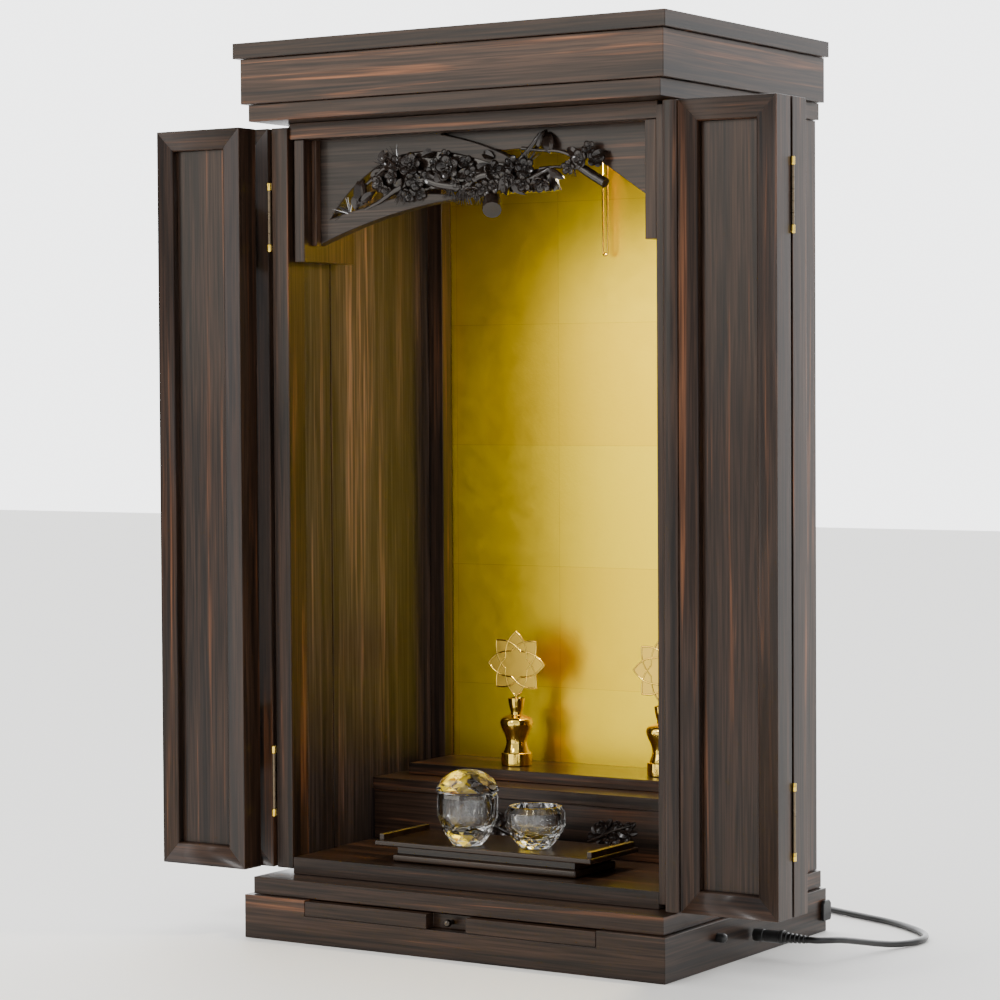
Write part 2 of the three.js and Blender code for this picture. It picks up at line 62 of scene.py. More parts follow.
# %% Camera
CAMERA_PLACE = Vector((1.3837, -2.2203, 0.4663))
CAMERA_YAW = math.radians(32.56)
CAMERA_PITCH = math.radians(-2.06)
CAMERA_ROLL = math.radians(-0.33)
LENS_MM = 110.53

bpy.ops.object.camera_add(location=CAMERA_PLACE)
camera = bpy.context.active_object
camera.name = "viewing_camera"
camera.data.lens = LENS_MM
camera.data.sensor_width = 36
camera.data.clip_start = 0.05
turn = Matrix.Rotation(CAMERA_YAW, 4, "Z") @ Matrix.Rotation(math.radians(90) + CAMERA_PITCH, 4, "X")
camera.matrix_world = Matrix.Translation(CAMERA_PLACE) @ turn @ Matrix.Rotation(CAMERA_ROLL, 4, "Z")
bpy.context.scene.camera = camera
print("camera looks along", [round(v, 3) for v in camera.matrix_world.to_quaternion() @ Vector((0, 0, -1))])

# %% [markdown]
# The lead is 5.5 mm thick. It leaves the strain relief, sinks to the table in a wide bend and
# goes behind the cabinet, where the rest is wound into a small round coil of three layers. The
# free stretch is a list of given places; the turns are worked out by a loop. A curve with
# a round bevel keeps the thickness the same all the way.

# %% Lead
CORD_RADIUS = 2.75 * MM
COIL_CENTRE = Vector((75, 205)) * MM
COIL_MIDDLE = 30.25 * MM
PITCH = 2 * CORD_RADIUS
STEPS_PER_TURN = 24

free_stretch = [
    (257.5, 3.8, 18), (265, 4.6, 18), (272, 11, 17.8), (276.5, 23, 16.6), (280, 38, 14),
    (283.5, 55, 10.6), (288, 74, 6.8), (293.5, 92, 4), (299, 108, 2.9), (302, 124, 2.8),
    (299, 141, 2.8), (288.5, 158, 2.8), (271, 174, 2.8), (246, 191, 2.8), (216, 204.5, 2.8),
    (190, 215.5, 2.8), (163, 227, 2.8), (138, 236, 2.8), (116, 241.6, 2.8),
]
route = [Vector(place) * MM for place in free_stretch]

# Turns of the coil: (turn number, radius in coil pitches from the middle, height in cord radii)
coil_profile = [(0, 1.5, 1), (3, -1.5, 1), (4, -1.0, 2.74), (6, 1.0, 2.74), (7, 0.5, 4.48)]


def along_profile(turn, column):
    """The value of one column of the coil's profile at a turn, straight between the rows."""
    for first, second in zip(coil_profile, coil_profile[1:]):
        if turn <= second[0]:
            share = (turn - first[0]) / (second[0] - first[0])
            return first[column] + share * (second[column] - first[column])
    return coil_profile[-1][column]


for step in range(7 * STEPS_PER_TURN + 1):
    turn_number = step / STEPS_PER_TURN
    angle = math.radians(90) + 2 * math.pi * turn_number
    radius = COIL_MIDDLE + PITCH * along_profile(turn_number, 1)
    height = CORD_RADIUS * along_profile(turn_number, 2)
    route.append(Vector((COIL_CENTRE.x + radius * math.cos(angle),
                         COIL_CENTRE.y + radius * math.sin(angle), height)))
plug_mouth = Vector((COIL_CENTRE.x - 21.6 * MM, COIL_CENTRE.y + COIL_MIDDLE + 3 * CORD_RADIUS, 8 * MM))
route.append(plug_mouth.lerp(route[-1], 0.5) + Vector((0, 0.5 * MM, -0.5 * MM)))
route.append(plug_mouth)


def round_curve(name, radius, resolution, capped=False):
    """An empty curve that becomes a round wire or cord of a radius."""
    new = bpy.data.curves.new(name, "CURVE")
    new.dimensions = "3D"
    new.bevel_depth = radius
    new.bevel_resolution = resolution
    new.use_fill_caps = capped
    return new


def add_bending_line(shape, places):
    """Adds a line that bends smoothly through places to a curve."""
    line = shape.splines.new("BEZIER")
    line.bezier_points.add(len(places) - 1)
    for point, place in zip(line.bezier_points, places):
        point.co = place
        point.handle_left_type = "AUTO"
        point.handle_right_type = "AUTO"
    return line


curve = round_curve("lead", CORD_RADIUS, 4)
add_bending_line(curve, route)
curve.resolution_u = 6
lead = bpy.data.objects.new("lead", curve)
bpy.context.scene.collection.objects.link(lead)

# %% [markdown]
# Every finish below is a small web of shader nodes. One function adds a node, sets its sockets and
# links it, so each material reads as a short list of what the surface is made of. Colours are
# written as the hex values a painter would pick, and turned to linear light once, here.

# %% Shader helpers
def linear(hex_colour):
    """A linear RGBA colour from an sRGB hex value such as "3c302a"."""
    channels = [int(hex_colour[i:i + 2], 16) / 255 for i in (0, 2, 4)]
    return [c / 12.92 if c <= 0.04045 else ((c + 0.055) / 1.055) ** 2.4 for c in channels] + [1.0]


def add_node(material, kind, inputs=None, stops=None, **settings):
    """Adds a shader node: settings are its properties, inputs its values or links, stops a ramp."""
    new = material.node_tree.nodes.new(kind)
    for key, value in settings.items():
        setattr(new, key, value)
    for socket, value in (inputs or {}).items():
        if isinstance(value, bpy.types.NodeSocket):
            material.node_tree.links.new(value, new.inputs[socket])
        else:
            new.inputs[socket].default_value = value
    if stops:
        elements = new.color_ramp.elements
        while len(elements) < len(stops):
            elements.new(0.5)
        for element, (position, colour) in zip(elements, stops):
            element.position = position
            element.color = linear(colour) if isinstance(colour, str) else [colour] * 3 + [1.0]
    return new


def new_material(name, **shader_values):
    """An empty material and its Principled shader, with constants on the shader's own sockets."""
    material = bpy.data.materials.new(name)
    material.use_nodes = True
    shader = material.node_tree.nodes["Principled BSDF"]
    for socket, value in shader_values.items():
        shader.inputs[socket.replace("_", " ")].default_value = value
    return material, shader


def link(material, source, target):
    """Links one socket to another."""
    material.node_tree.links.new(source, target)


# %% [markdown]
# The wood is ebony-look macassar veneer under satin lacquer. Seen close, it is near-black brown
# with slightly wavy stripes of warm brown, finer lines within them and short pores along the grain,
# and whole bands of it are lighter or darker, as flames. A picture of real veneer would do it too,
# but noise has no edges and no repeat. Four layers of noise are used, one for each width, all
# compressed across the grain and drawn out along it. A number stored on each board shifts the
# pattern, so no two boards are cut from the same place. The lacquer is a clear coat with a little
# roughness, which gives soft highlights.

# %% Ebony veneer
FLAME_MM = 26
STRIPE_MM = 4.2
LINE_MM = 0.9
PORE_MM = 0.45
GRAIN_STRETCH = 45
# Layers of noise: width across the grain in millimetres, detail, distortion
grain_layers = [(FLAME_MM, 2.0, 0.3), (STRIPE_MM, 3.0, 0.9), (LINE_MM, 2.0, 0.4), (PORE_MM, 1.0, 0.0)]


def ebony_veneer(name, grain, dark, mid, stripe, coat=0.1, roughness=0.34, stripe_from=0.6):
    """Macassar veneer. grain names the axes along which the stripes run."""
    material, shader = new_material(name, Roughness=roughness, Coat_Weight=coat, Coat_Roughness=0.14,
                                    Specular_IOR_Level=0.2)
    place = add_node(material, "ShaderNodeTexCoord").outputs["Object"]
    board = add_node(material, "ShaderNodeAttribute", attribute_name="board").outputs["Fac"]
    shift = add_node(material, "ShaderNodeVectorMath", {0: place, 1: board}, operation="ADD")
    levels = []
    for width_mm, detail, distortion in grain_layers:
        across = 1000 / width_mm / 2
        scale = [across / GRAIN_STRETCH if axis in grain else across for axis in "XYZ"]
        stretched = add_node(material, "ShaderNodeVectorMath", {0: shift.outputs[0], 1: scale},
                             operation="MULTIPLY")
        levels.append(add_node(material, "ShaderNodeTexNoise", {
            "Vector": stretched.outputs[0], "Scale": 1.0, "Detail": detail, "Distortion": distortion,
        }).outputs["Fac"])
    flames, stripes, lines, pores = levels
    broad = add_node(material, "ShaderNodeValToRGB", {"Fac": stripes}, stops=[
        (0.34, dark), (0.5, mid), (stripe_from, mid), (stripe_from + 0.12, stripe)])
    fine = add_node(material, "ShaderNodeValToRGB", {"Fac": lines}, stops=[
        (0.36, 0.45), (0.5, 0.95), (0.64, 1.6)])
    flame = add_node(material, "ShaderNodeValToRGB", {"Fac": flames}, stops=[
        (0.4, 0.72), (0.52, 1.0), (0.66, 1.5)])
    lined = add_node(material, "ShaderNodeMix", {0: 0.8, 6: broad.outputs[0], 7: fine.outputs[0]},
                     data_type="RGBA", blend_type="MULTIPLY")
    grained = add_node(material, "ShaderNodeMix", {0: 1.0, 6: lined.outputs[2], 7: flame.outputs[0]},
                       data_type="RGBA", blend_type="MULTIPLY")
    link(material, grained.outputs[2], shader.inputs["Base Color"])
    bump = add_node(material, "ShaderNodeBump", {"Strength": 0.12, "Distance": 0.15 * MM, "Height": pores})
    link(material, bump.outputs[0], shader.inputs["Normal"])
    return material


# Colours of the wood: dark, middle, stripe
WOOD = ("1c1410", "312219", "603c26")
WALL_WOOD = ("1c1817", "2c2422", "4d3a33")
ebony_upright = ebony_veneer("ebony_veneer_upright", "Z", *WOOD)
ebony_across = ebony_veneer("ebony_veneer_across", "XY", *WOOD)
ebony_flat = ebony_veneer("ebony_veneer_flat", "X", *WOOD, coat=0.2)
ebony_wall = ebony_veneer("ebony_veneer_inner_wall", "Z", *WALL_WOOD, stripe_from=0.56)
print("ebony veneers:", ebony_upright.name, ebony_across.name, ebony_flat.name, ebony_wall.name)

# %% [markdown]
# The back is covered with gold leaf. Leaves are hand-sized squares of about 109 mm, laid with a
# small overlap that shows as a faint darker line. The leaf is a true metal, but the ground under it
# is brushed lacquer, so it mirrors softly. A grid of bricks without an offset gives the squares,
# fine noise gives the crinkle, and a broader noise lets the gloss drift a little.

# %% Gold leaf
LEAF_MM = 109.0
OVERLAP_MM = 0.3
CRINKLE_MM = 2.2
CLOUDS_PER_METRE = 70.0

gold_leaf, shader = new_material("gold_leaf_on_lacquer", Metallic=1.0)
place = add_node(gold_leaf, "ShaderNodeTexCoord").outputs["Object"]
facing = add_node(gold_leaf, "ShaderNodeMapping", {
    "Vector": place, "Rotation": (math.radians(-90), 0, 0), "Location": (LEAF_MM * MM / 2, 0.02, 0)})
squares = add_node(gold_leaf, "ShaderNodeTexBrick", {
    "Vector": facing.outputs[0], "Color1": linear("ffdc22"), "Color2": linear("fad21c"),
    "Mortar": linear("dcae18"), "Scale": 1.0, "Mortar Size": OVERLAP_MM * MM, "Mortar Smooth": 1.0,
    "Bias": 0.0, "Brick Width": LEAF_MM * MM, "Row Height": LEAF_MM * MM}, offset=0.0, squash=1.0)
link(gold_leaf, squares.outputs["Color"], shader.inputs["Base Color"])
crinkle = add_node(gold_leaf, "ShaderNodeTexNoise", {
    "Vector": place, "Scale": 1000 / CRINKLE_MM, "Detail": 4.0, "Roughness": 0.6})
cloud = add_node(gold_leaf, "ShaderNodeTexNoise", {
    "Vector": place, "Scale": CLOUDS_PER_METRE, "Detail": 4.0})
rough = add_node(gold_leaf, "ShaderNodeMapRange", {
    "Value": cloud.outputs["Fac"], "From Min": 0.3, "From Max": 0.7, "To Min": 0.33, "To Max": 0.38})
link(gold_leaf, rough.outputs[0], shader.inputs["Roughness"])
bump = add_node(gold_leaf, "ShaderNodeBump", {
    "Strength": 0.6, "Distance": 0.2 * MM, "Height": crinkle.outputs["Fac"]})
link(gold_leaf, bump.outputs[0], shader.inputs["Normal"])
print("gold leaf in squares of", LEAF_MM, "mm")

# %% [markdown]
# The small metal parts are brass: the hinges have barrels of a darker brass and bright gilt caps,
# the lotus pair and the scroll hanger are gilt and almost mirror-bright, and the knob of the pull-out board
# is dark chrome. Each is a metal with its own colour and a faint cloud in its roughness, as fingers leave.

# %% Metals
SMUDGE_MM = 6.25


def polished_metal(name, colour, low, high):
    """A metal whose roughness drifts between two values over a few millimetres."""
    material, shader = new_material(name, Metallic=1.0, Base_Color=linear(colour))
    place = add_node(material, "ShaderNodeTexCoord").outputs["Object"]
    cloud = add_node(material, "ShaderNodeTexNoise", {
        "Vector": place, "Scale": 1000 / SMUDGE_MM, "Detail": 3.0})
    drift = add_node(material, "ShaderNodeMapRange", {
        "Value": cloud.outputs["Fac"], "From Min": 0.3, "From Max": 0.7, "To Min": low, "To Max": high})
    link(material, drift.outputs[0], shader.inputs["Roughness"])
    return material


# The hinge barrels and plates get a darker brass colour than the bright gilt caps.
hinge_brass = polished_metal("dark_barrel_brass", "6f6250", 0.26, 0.38)
gilt_brass = polished_metal("gilt_brass", "f5cf58", 0.06, 0.11)
dark_chrome = polished_metal("dark_chrome", "4c4640", 0.12, 0.22)

# %% [markdown]
# The cup and bowl are cut crystal: clear glass, with flat facets ground and polished on its
# outside. It has no colour of its own, so the shader is plain, with the index of crystal.

# %% Crystal
CRYSTAL_INDEX = 1.54

crystal, shader = new_material("cut_crystal", Base_Color=linear("fbfcfd"), Roughness=0.0,
                               IOR=CRYSTAL_INDEX, Transmission_Weight=1.0)
print("crystal with an index of", CRYSTAL_INDEX)

# %% [markdown]
# The plugs, the inlet and the sheath of the lead are moulded, so they carry the fine grit of their
# mould. The tray is darker than the cabinet under a thicker lacquer, and the tops of its lips are
# lined in dull gold. Both reuse a finish from above with other colours.

# %% Plastic, rubber and tray lacquer
def moulded(name, colour, roughness, grit_mm, strength):
    """A moulded plastic or rubber with the fine texture of its mould."""
    material, shader = new_material(name, Base_Color=linear(colour), Roughness=roughness)
    place = add_node(material, "ShaderNodeTexCoord").outputs["Object"]
    grit = add_node(material, "ShaderNodeTexNoise", {
        "Vector": place, "Scale": 1000 / grit_mm, "Detail": 2.0})
    bump = add_node(material, "ShaderNodeBump", {
        "Strength": strength, "Distance": 0.1 * MM, "Height": grit.outputs["Fac"]})
    link(material, bump.outputs[0], shader.inputs["Normal"])
    return material


black_plastic = moulded("black_moulded_plastic", "1b1b1b", 0.38, 0.8, 0.15)
cord_rubber = moulded("black_cord_sheath", "0e0d0d", 0.3, 1.5, 0.05)
tray_lacquer = ebony_veneer("tray_lacquer", "X", "170f0a", "271a10", "3d2a18", coat=0.35, roughness=0.3)
gold_edge = polished_metal("gold_painted_edge", "877a50", 0.34, 0.46)
print("finishes:", len(bpy.data.materials))

# %% [markdown]
# New pieces start as a primitive of the right size and are shaped as by hand. These helpers keep
# each step short: one starts a block between two corners, one picks vertices, edges or faces by a
# test on their place, and one adds a modifier and applies it. A piece's object stays at the origin
# and its place is in its mesh, so a pattern on Object coordinates stays put.

# %% Modelling helpers
random.seed(7)
board_numbers = iter(range(1, 1000))


def only(piece):
    """Selects one object and nothing else."""
    bpy.ops.object.select_all(action="DESELECT")
    piece.select_set(True)
    bpy.context.view_layer.objects.active = piece


def settle(piece):
    """Moves the object's place, turn and scale into its mesh."""
    only(piece)
    bpy.ops.object.transform_apply(location=True, rotation=True, scale=True)


def start_block(name, low, high):
    """A cube primitive made to fit between two corners."""
    bpy.ops.object.select_all(action="DESELECT")
    low, high = Vector(low), Vector(high)
    bpy.ops.mesh.primitive_cube_add(size=1, location=(low + high) / 2)
    piece = bpy.context.active_object
    piece.name = name
    piece.scale = high - low
    settle(piece)
    return piece


def start_from(name, data):
    """A new selected object from a mesh or a curve."""
    piece = bpy.data.objects.new(name, data)
    bpy.context.scene.collection.objects.link(piece)
    only(piece)
    return piece


def open_whole(piece):
    """Opens the piece in edit mode with everything selected."""
    only(piece)
    bpy.ops.object.mode_set(mode="EDIT")
    bpy.ops.mesh.select_all(action="SELECT")


def close_edit():
    """Leaves edit mode."""
    bpy.ops.object.mode_set(mode="OBJECT")


def close_outwards():
    """Turns every face outwards and leaves edit mode."""
    bpy.ops.mesh.select_all(action="SELECT")
    bpy.ops.mesh.normals_make_consistent(inside=False)
    close_edit()


def start_copy(name, node):
    """A copy of a CAD node's mesh, with its loose triangles merged back into faces."""
    piece = start_from(name, nodes[node].data.copy())
    piece.data.materials.clear()
    open_whole(piece)
    bpy.ops.mesh.remove_doubles(threshold=0.01 * MM)
    bpy.ops.mesh.dissolve_limited(angle_limit=math.radians(1))
    close_edit()
    return piece


def pick(piece, kind, test):
    """Opens the piece in edit mode with only the elements that pass the test selected."""
    only(piece)
    bpy.ops.object.mode_set(mode="EDIT")
    bpy.ops.mesh.select_mode(type=kind)
    bpy.ops.mesh.select_all(action="DESELECT")
    shape = bmesh.from_edit_mesh(piece.data)
    elements = {"VERT": shape.verts, "EDGE": shape.edges, "FACE": shape.faces}[kind]
    for element in elements:
        if test(element):
            element.select_set(True)
    shape.select_flush_mode()
    bmesh.update_edit_mesh(piece.data)


def apply_modifier(piece, kind, **settings):
    """Adds a modifier, sets it and applies it."""
    only(piece)
    modifier = piece.modifiers.new(kind.lower(), kind)
    for key, value in settings.items():
        setattr(modifier, key, value)
    bpy.ops.object.modifier_apply(modifier=modifier.name)


def smooth_up_to(piece, degrees):
    """Smooth shading, but not across edges sharper than an angle."""
    only(piece)
    bpy.ops.object.shade_smooth_by_angle(angle=math.radians(degrees))


def ease(piece, width, segments=3, angle=40):
    """Breaks the sharp edges, as sanding does. Flat faces keep a flat shading up to the edge."""
    apply_modifier(piece, "BEVEL", width=width, segments=segments, limit_method="ANGLE",
                   angle_limit=math.radians(angle), harden_normals=False)
    smooth_up_to(piece, 35)
    apply_modifier(piece, "WEIGHTED_NORMAL", keep_sharp=True)


def middle(element):
    """The middle of an edge or a face."""
    return sum((v.co for v in element.verts), Vector()) / len(element.verts)


def finish_piece(piece, body, material, replaces=()):
    """Gives a finished piece its material, if one is given, and its body, and hides the CAD nodes it stands
    for.
    """
    if material is not None:
        piece.data.materials.clear()
        piece.data.materials.append(material)
    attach(piece, body)
    if replaces:
        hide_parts(*replaces)


def number_board(piece):
    """Stores the number that shifts the grain, so that each board has its own."""
    layer = piece.data.attributes.new("board", "FLOAT", "POINT")
    shift = 0.137 * next(board_numbers)
    layer.data.foreach_set("value", [shift] * len(piece.data.vertices))


def veneer(piece, upright):
    """Veneers a piece: one material for its upright faces, one for its level ones."""
    number_board(piece)
    piece.data.materials.clear()
    piece.data.materials.append(ebony_upright if upright else ebony_across)
    piece.data.materials.append(ebony_flat)
    for face in piece.data.polygons:
        face.material_index = 1 if abs(face.normal.z) > 0.8 else 0


# %% [markdown]
# The carcass is made of boards. Their solids already have the right shape and place, but the
# corners are knife-sharp, which no sanded and lacquered board is. So each is copied, its edges are
# eased by 0.5 mm, and it is veneered: stripes run up the uprights and along everything level.

# %% Carcass boards
EDGE_MM = 0.5

uprights = ["side_panel_left", "side_panel_right", "back_panel", "hinge_post_left", "hinge_post_right",
            "rear_pillar_left", "rear_pillar_right", "cheek_left", "cheek_right", "transom_batten"]
levels = ["top_slab", "cornice_fascia", "cornice_moulding", "upper_base", "lower_base", "floor_slab",
          "header_rail", "lower_shelf", "upper_board", "riser_side_left", "riser_side_right"]


def veneered_copy(name, node, body, upright, edge_mm, segments=3):
    """A CAD board with eased edges and veneer, in the place of its solid."""
    board = start_copy(name, node)
    ease(board, edge_mm * MM, segments)
    veneer(board, upright)
    finish_piece(board, body, None, [node])
    return board


for node in uprights + levels:
    veneered_copy("veneered_" + node, node, "cabinet", node in uprights, EDGE_MM)
print("boards:", len(uprights) + len(levels))

# %% [markdown]
# The insides of the two walls carry a greyer veneer with more stripes. Inside and outside belong to
# the same board, so it stays one piece, and only the faces that look inwards and lie clear of the
# outside get the other material. A second object for the veneer would lie in the same plane.

# %% Striped veneer on the inner walls
for side in ("left", "right"):
    wall = bpy.data.objects["veneered_side_panel_" + side]
    wall.data.materials.append(ebony_wall)
    inward = 1 if side == "left" else -1
    outermost = max(abs(v.co.x) for v in wall.data.vertices)
    for face in wall.data.polygons:
        if face.normal.x * inward > 0.7 and abs(face.center.x) < outermost - 5 * MM:
            face.material_index = 2
print("inner walls veneered")

# %% [markdown]
# The gold leaf covers one thin board in front of the back. Its solid is used as it is, without
# easing, because the leaf lies flat.

# %% Gold leaf on the back
leaf_board = start_copy("gold_leaf_back", "gold_leaf_panel")
finish_piece(leaf_board, "cabinet", gold_leaf, ["gold_leaf_panel"])

# %% [markdown]
# The doors have four leaves in all, two on a side. A leaf is a frame of two stiles and two rails
# round a panel. The corners are mitred, so that the stripes turn the corner as they do on a picture
# frame. Each stick starts as a block of the full length. Its inner lip is rounded over and its edges
# are eased first, and bisecting it through the outer and inner corners then cuts the mitre, so that
# the joints stay tight.

# %% Door frames
LIP_MM = 1.4
FRAME_EDGE_MM = 0.6
STRIP_EDGE_MM = 0.7
PANEL_GAP_MM = 0.3
TOUCH = 0.1 * MM


def mitre(stick, corner, inner, keep_point):
    """Cuts a stick along the line from an outer to an inner corner, seen from the front."""
    run = inner - corner
    normal = Vector((run.z, 0, -run.x)).normalized()
    if (keep_point - corner).dot(normal) > 0:
        normal.negate()
    pick(stick, "FACE", lambda face: True)
    bpy.ops.mesh.bisect(plane_co=corner, plane_no=normal, use_fill=True, clear_outer=True)
    close_edit()


def frame_stick(name, low, high, corners, sight_low, sight_high, upright):
    """One mitred stick with its inner lip rounded over."""
    stick = start_block(name, low, high)
    centre = (low + high) / 2

    def is_lip(edge):
        """Whether an edge runs along the stick at the line of the panel."""
        place = middle(edge)
        along = edge.verts[1].co - edge.verts[0].co
        if upright:
            at_sight = min(abs(place.x - sight_low.x), abs(place.x - sight_high.x)) < TOUCH
            return at_sight and abs(along.z) > 0.9 * along.length
        at_sight = min(abs(place.z - sight_low.z), abs(place.z - sight_high.z)) < TOUCH
        return at_sight and abs(along.x) > 0.9 * along.length

    pick(stick, "EDGE", is_lip)
    bpy.ops.mesh.bevel(offset=LIP_MM * MM, segments=5, profile=0.5)
    close_edit()
    ease(stick, FRAME_EDGE_MM * MM, 2)
    for corner, inner in corners:
        mitre(stick, corner, inner, centre)
    number_board(stick)
    stick.data.materials.append(ebony_upright if upright else ebony_across)
    return stick


def door_frame(node, body):
    """A mitred frame of four sticks, in the place of a CAD frame."""
    low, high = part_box(node)
    sight_low, sight_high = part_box(node.replace("_frame", "_panel"))
    sight_low = sight_low - Vector((PANEL_GAP_MM, 0, PANEL_GAP_MM)) * MM
    sight_high = sight_high + Vector((PANEL_GAP_MM, 0, PANEL_GAP_MM)) * MM
    cuts = {}
    for x in (0, 1):
        for z in (0, 1):
            corner = Vector(((low, high)[x].x, low.y, (low, high)[z].z))
            inner = Vector(((sight_low, sight_high)[x].x, low.y, (sight_low, sight_high)[z].z))
            cuts[x, z] = (corner, inner)
    sticks = []
    for x in (0, 1):
        stile_low = Vector((low.x if x == 0 else sight_high.x, low.y, low.z))
        stile_high = Vector((sight_low.x if x == 0 else high.x, high.y, high.z))
        sticks.append(frame_stick(f"stile_{x}", stile_low, stile_high, [cuts[x, 0], cuts[x, 1]],
                                  sight_low, sight_high, True))
    for z in (0, 1):
        rail_low = Vector((low.x, low.y, low.z if z == 0 else sight_high.z))
        rail_high = Vector((high.x, high.y, sight_low.z if z == 0 else high.z))
        sticks.append(frame_stick(f"rail_{z}", rail_low, rail_high, [cuts[0, z], cuts[1, z]],
                                  sight_low, sight_high, False))
    only(sticks[0])
    for stick in sticks[1:]:
        stick.select_set(True)
    bpy.ops.object.join()
    frame_piece = bpy.context.active_object
    frame_piece.name = "mitred_" + node
    finish_piece(frame_piece, body, None, [node])


for side in ("left", "right"):
    for level in ("inner", "outer"):
        leaf_name = f"{level}_door_{side}"
        body = f"{side}_{level}_leaf"
        door_frame(leaf_name + "_frame", body)
        panel = start_copy("veneered_" + leaf_name + "_panel", leaf_name + "_panel")
        veneer(panel, True)
        finish_piece(panel, body, None, [leaf_name + "_panel"])
veneered_copy("rounded_meeting_strip", "meeting_strip", "right_outer_leaf", True, STRIP_EDGE_MM, 2)
print("four door leaves and the meeting strip are made")

# %% [markdown]
# The pull-out board sits in the plinth, with a finger hole in its edge. Like the boards above it is
# copied and eased.

# %% Pull-out board
PULL_OUT_EDGE_MM = 0.6
pull_out = veneered_copy("eased_pull_out_board", "pull_out_board", "pull_out", False, PULL_OUT_EDGE_MM)
print("pull-out board", len(pull_out.data.polygons), "faces")

# %% [markdown]
# The head of the opening holds the transom, the finest thing on the cabinet. It has a satin
# crescent board on the left, whose two horns run out to the right, a field board set back behind
# the upper horn, and a carved plum branch that grows through the lens-shaped gap between the horns
# and hangs below them. The boards come first, with the dark ground of the carving and the fringe of
# needles that hangs from its middle. Each is an outline seen from the front, filled, drawn out to
# its thickness, and eased at the edges. An outline needs only its corners and the controls of its
# bends, which is how a pattern for a saw is drawn.

# %% Transom boards
BACK_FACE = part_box("back_panel")[1].y
BEND_STEPS = 12


def ahead(distance_mm):
    """The y of a place that lies so many millimetres in front of the cabinet's back face."""
    return BACK_FACE - distance_mm * MM


def outline_points(moves):
    """Points of an outline. A move of two numbers is straight, one of four bends by a control."""
    points = []
    for move in moves:
        end = Vector(move[-2:])
        if len(move) == 4:
            start, control = points[-1], Vector(move[:2])
            for step in range(1, BEND_STEPS):
                share = step / BEND_STEPS
                points.append(start.lerp(control, share).lerp(control.lerp(end, share), share))
        points.append(end)
    return points


def drawn_out(name, outline, depth):
    """An outline filled and drawn out along Y by a depth in metres."""
    mesh = bpy.data.meshes.new(name)
    mesh.from_pydata(outline, [(i, (i + 1) % len(outline)) for i in range(len(outline))], [])
    piece = start_from(name, mesh)
    open_whole(piece)
    bpy.ops.mesh.edge_face_add()
    bpy.ops.mesh.extrude_region_move(TRANSFORM_OT_translate={"value": (0, depth, 0)})
    close_outwards()
    return piece


def sawn_board(name, moves, back_mm, front_mm, edge_mm):
    """A board sawn to an outline of millimetres seen from the front, with eased edges."""
    outline = [Vector((p.x * MM, ahead(front_mm), p.y * MM)) for p in outline_points(moves)]
    piece = drawn_out(name, outline, (front_mm - back_mm) * MM)
    ease(piece, edge_mm * MM)
    return piece


transom_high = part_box("transom")[1]
HALF = round(transom_high.x / MM, 2)
CEILING = round(transom_high.z / MM, 2)
crescent = sawn_board("crescent_board", [
    (-HALF, CEILING), (-HALF, 590), (-87, 620.5, -15, 625.5), (-60, 637, -110, 622.5),
    (-135, 618, -152, 612.8), (-126, 648, -88, 661), (-48, 673, 8, 653.5), (40, 651),
    (12, 669, -38, 679.3), (-38, CEILING)], 211, 223, 1.0)
field = sawn_board("field_board", [
    (-60, CEILING), (-60, 674), (20, 663.5), (85, 667.5, 120, 645.5), (142, 631, HALF, 613.5),
    (HALF, CEILING)], 211.2, 217, 0.7)
ground = sawn_board("carved_ground", [
    (-102, 645), (-96, 655, -90, 660), (-74, 667, -58, 666), (-40, 666, -26, 662.5), (10, 655), (36, 653),
    (50, 643), (24, 634), (-4, 631), (-36, 636), (-62, 632), (-80, 629), (-96, 633)], 213, 220.5, 0.6)
fringe_top = [(76, 628.5), (73, 634), (72, 641), (66, 647), (44, 646), (28, 646), (18, 640)]
fringe_teeth = [(x, 627.2 + (1.6 if number % 2 else 0)) for number, x in enumerate(range(20, 75, 2))]
fringe = sawn_board("needle_fringe", fringe_top + fringe_teeth, 216.5, 222.5, 0.4)
crescent_veneer = ebony_veneer("ebony_veneer_satin", "X", "1f1916", "29211c", "382b23", coat=0.15,
                               roughness=0.45)
carved_ebony = ebony_veneer("carved_ebony", "XYZ", "0f0b09", "19120e", "2e2017", coat=0.6, roughness=0.22)
for board, finish in ((crescent, crescent_veneer), (field, ebony_flat), (ground, carved_ebony),
                      (fringe, carved_ebony)):
    number_board(board)
    board.data.materials.append(finish)
print("transom boards", len(crescent.data.polygons), len(field.data.polygons))

# %% [markdown]
# The branch is carved from three motifs, each made once and then set in place many times: a plum
# blossom of five cupped petals with a ring of stamens, a pointed leaf with a sunk rib, and a tuft
# of pine needles. Every copy is turned, leaned and sized one by one, so that the flowers look in all
# directions.

# %% Carved motifs
NEEDLES = 15
FAN_SPREAD = 40


def join_parts(name, parts):
    """Joins loose parts into one piece with its place in its mesh."""
    for part in parts:
        settle(part)
    only(parts[0])
    for part in parts[1:]:
        part.select_set(True)
    bpy.ops.object.join()
    piece = bpy.context.active_object
    piece.name = name
    return piece


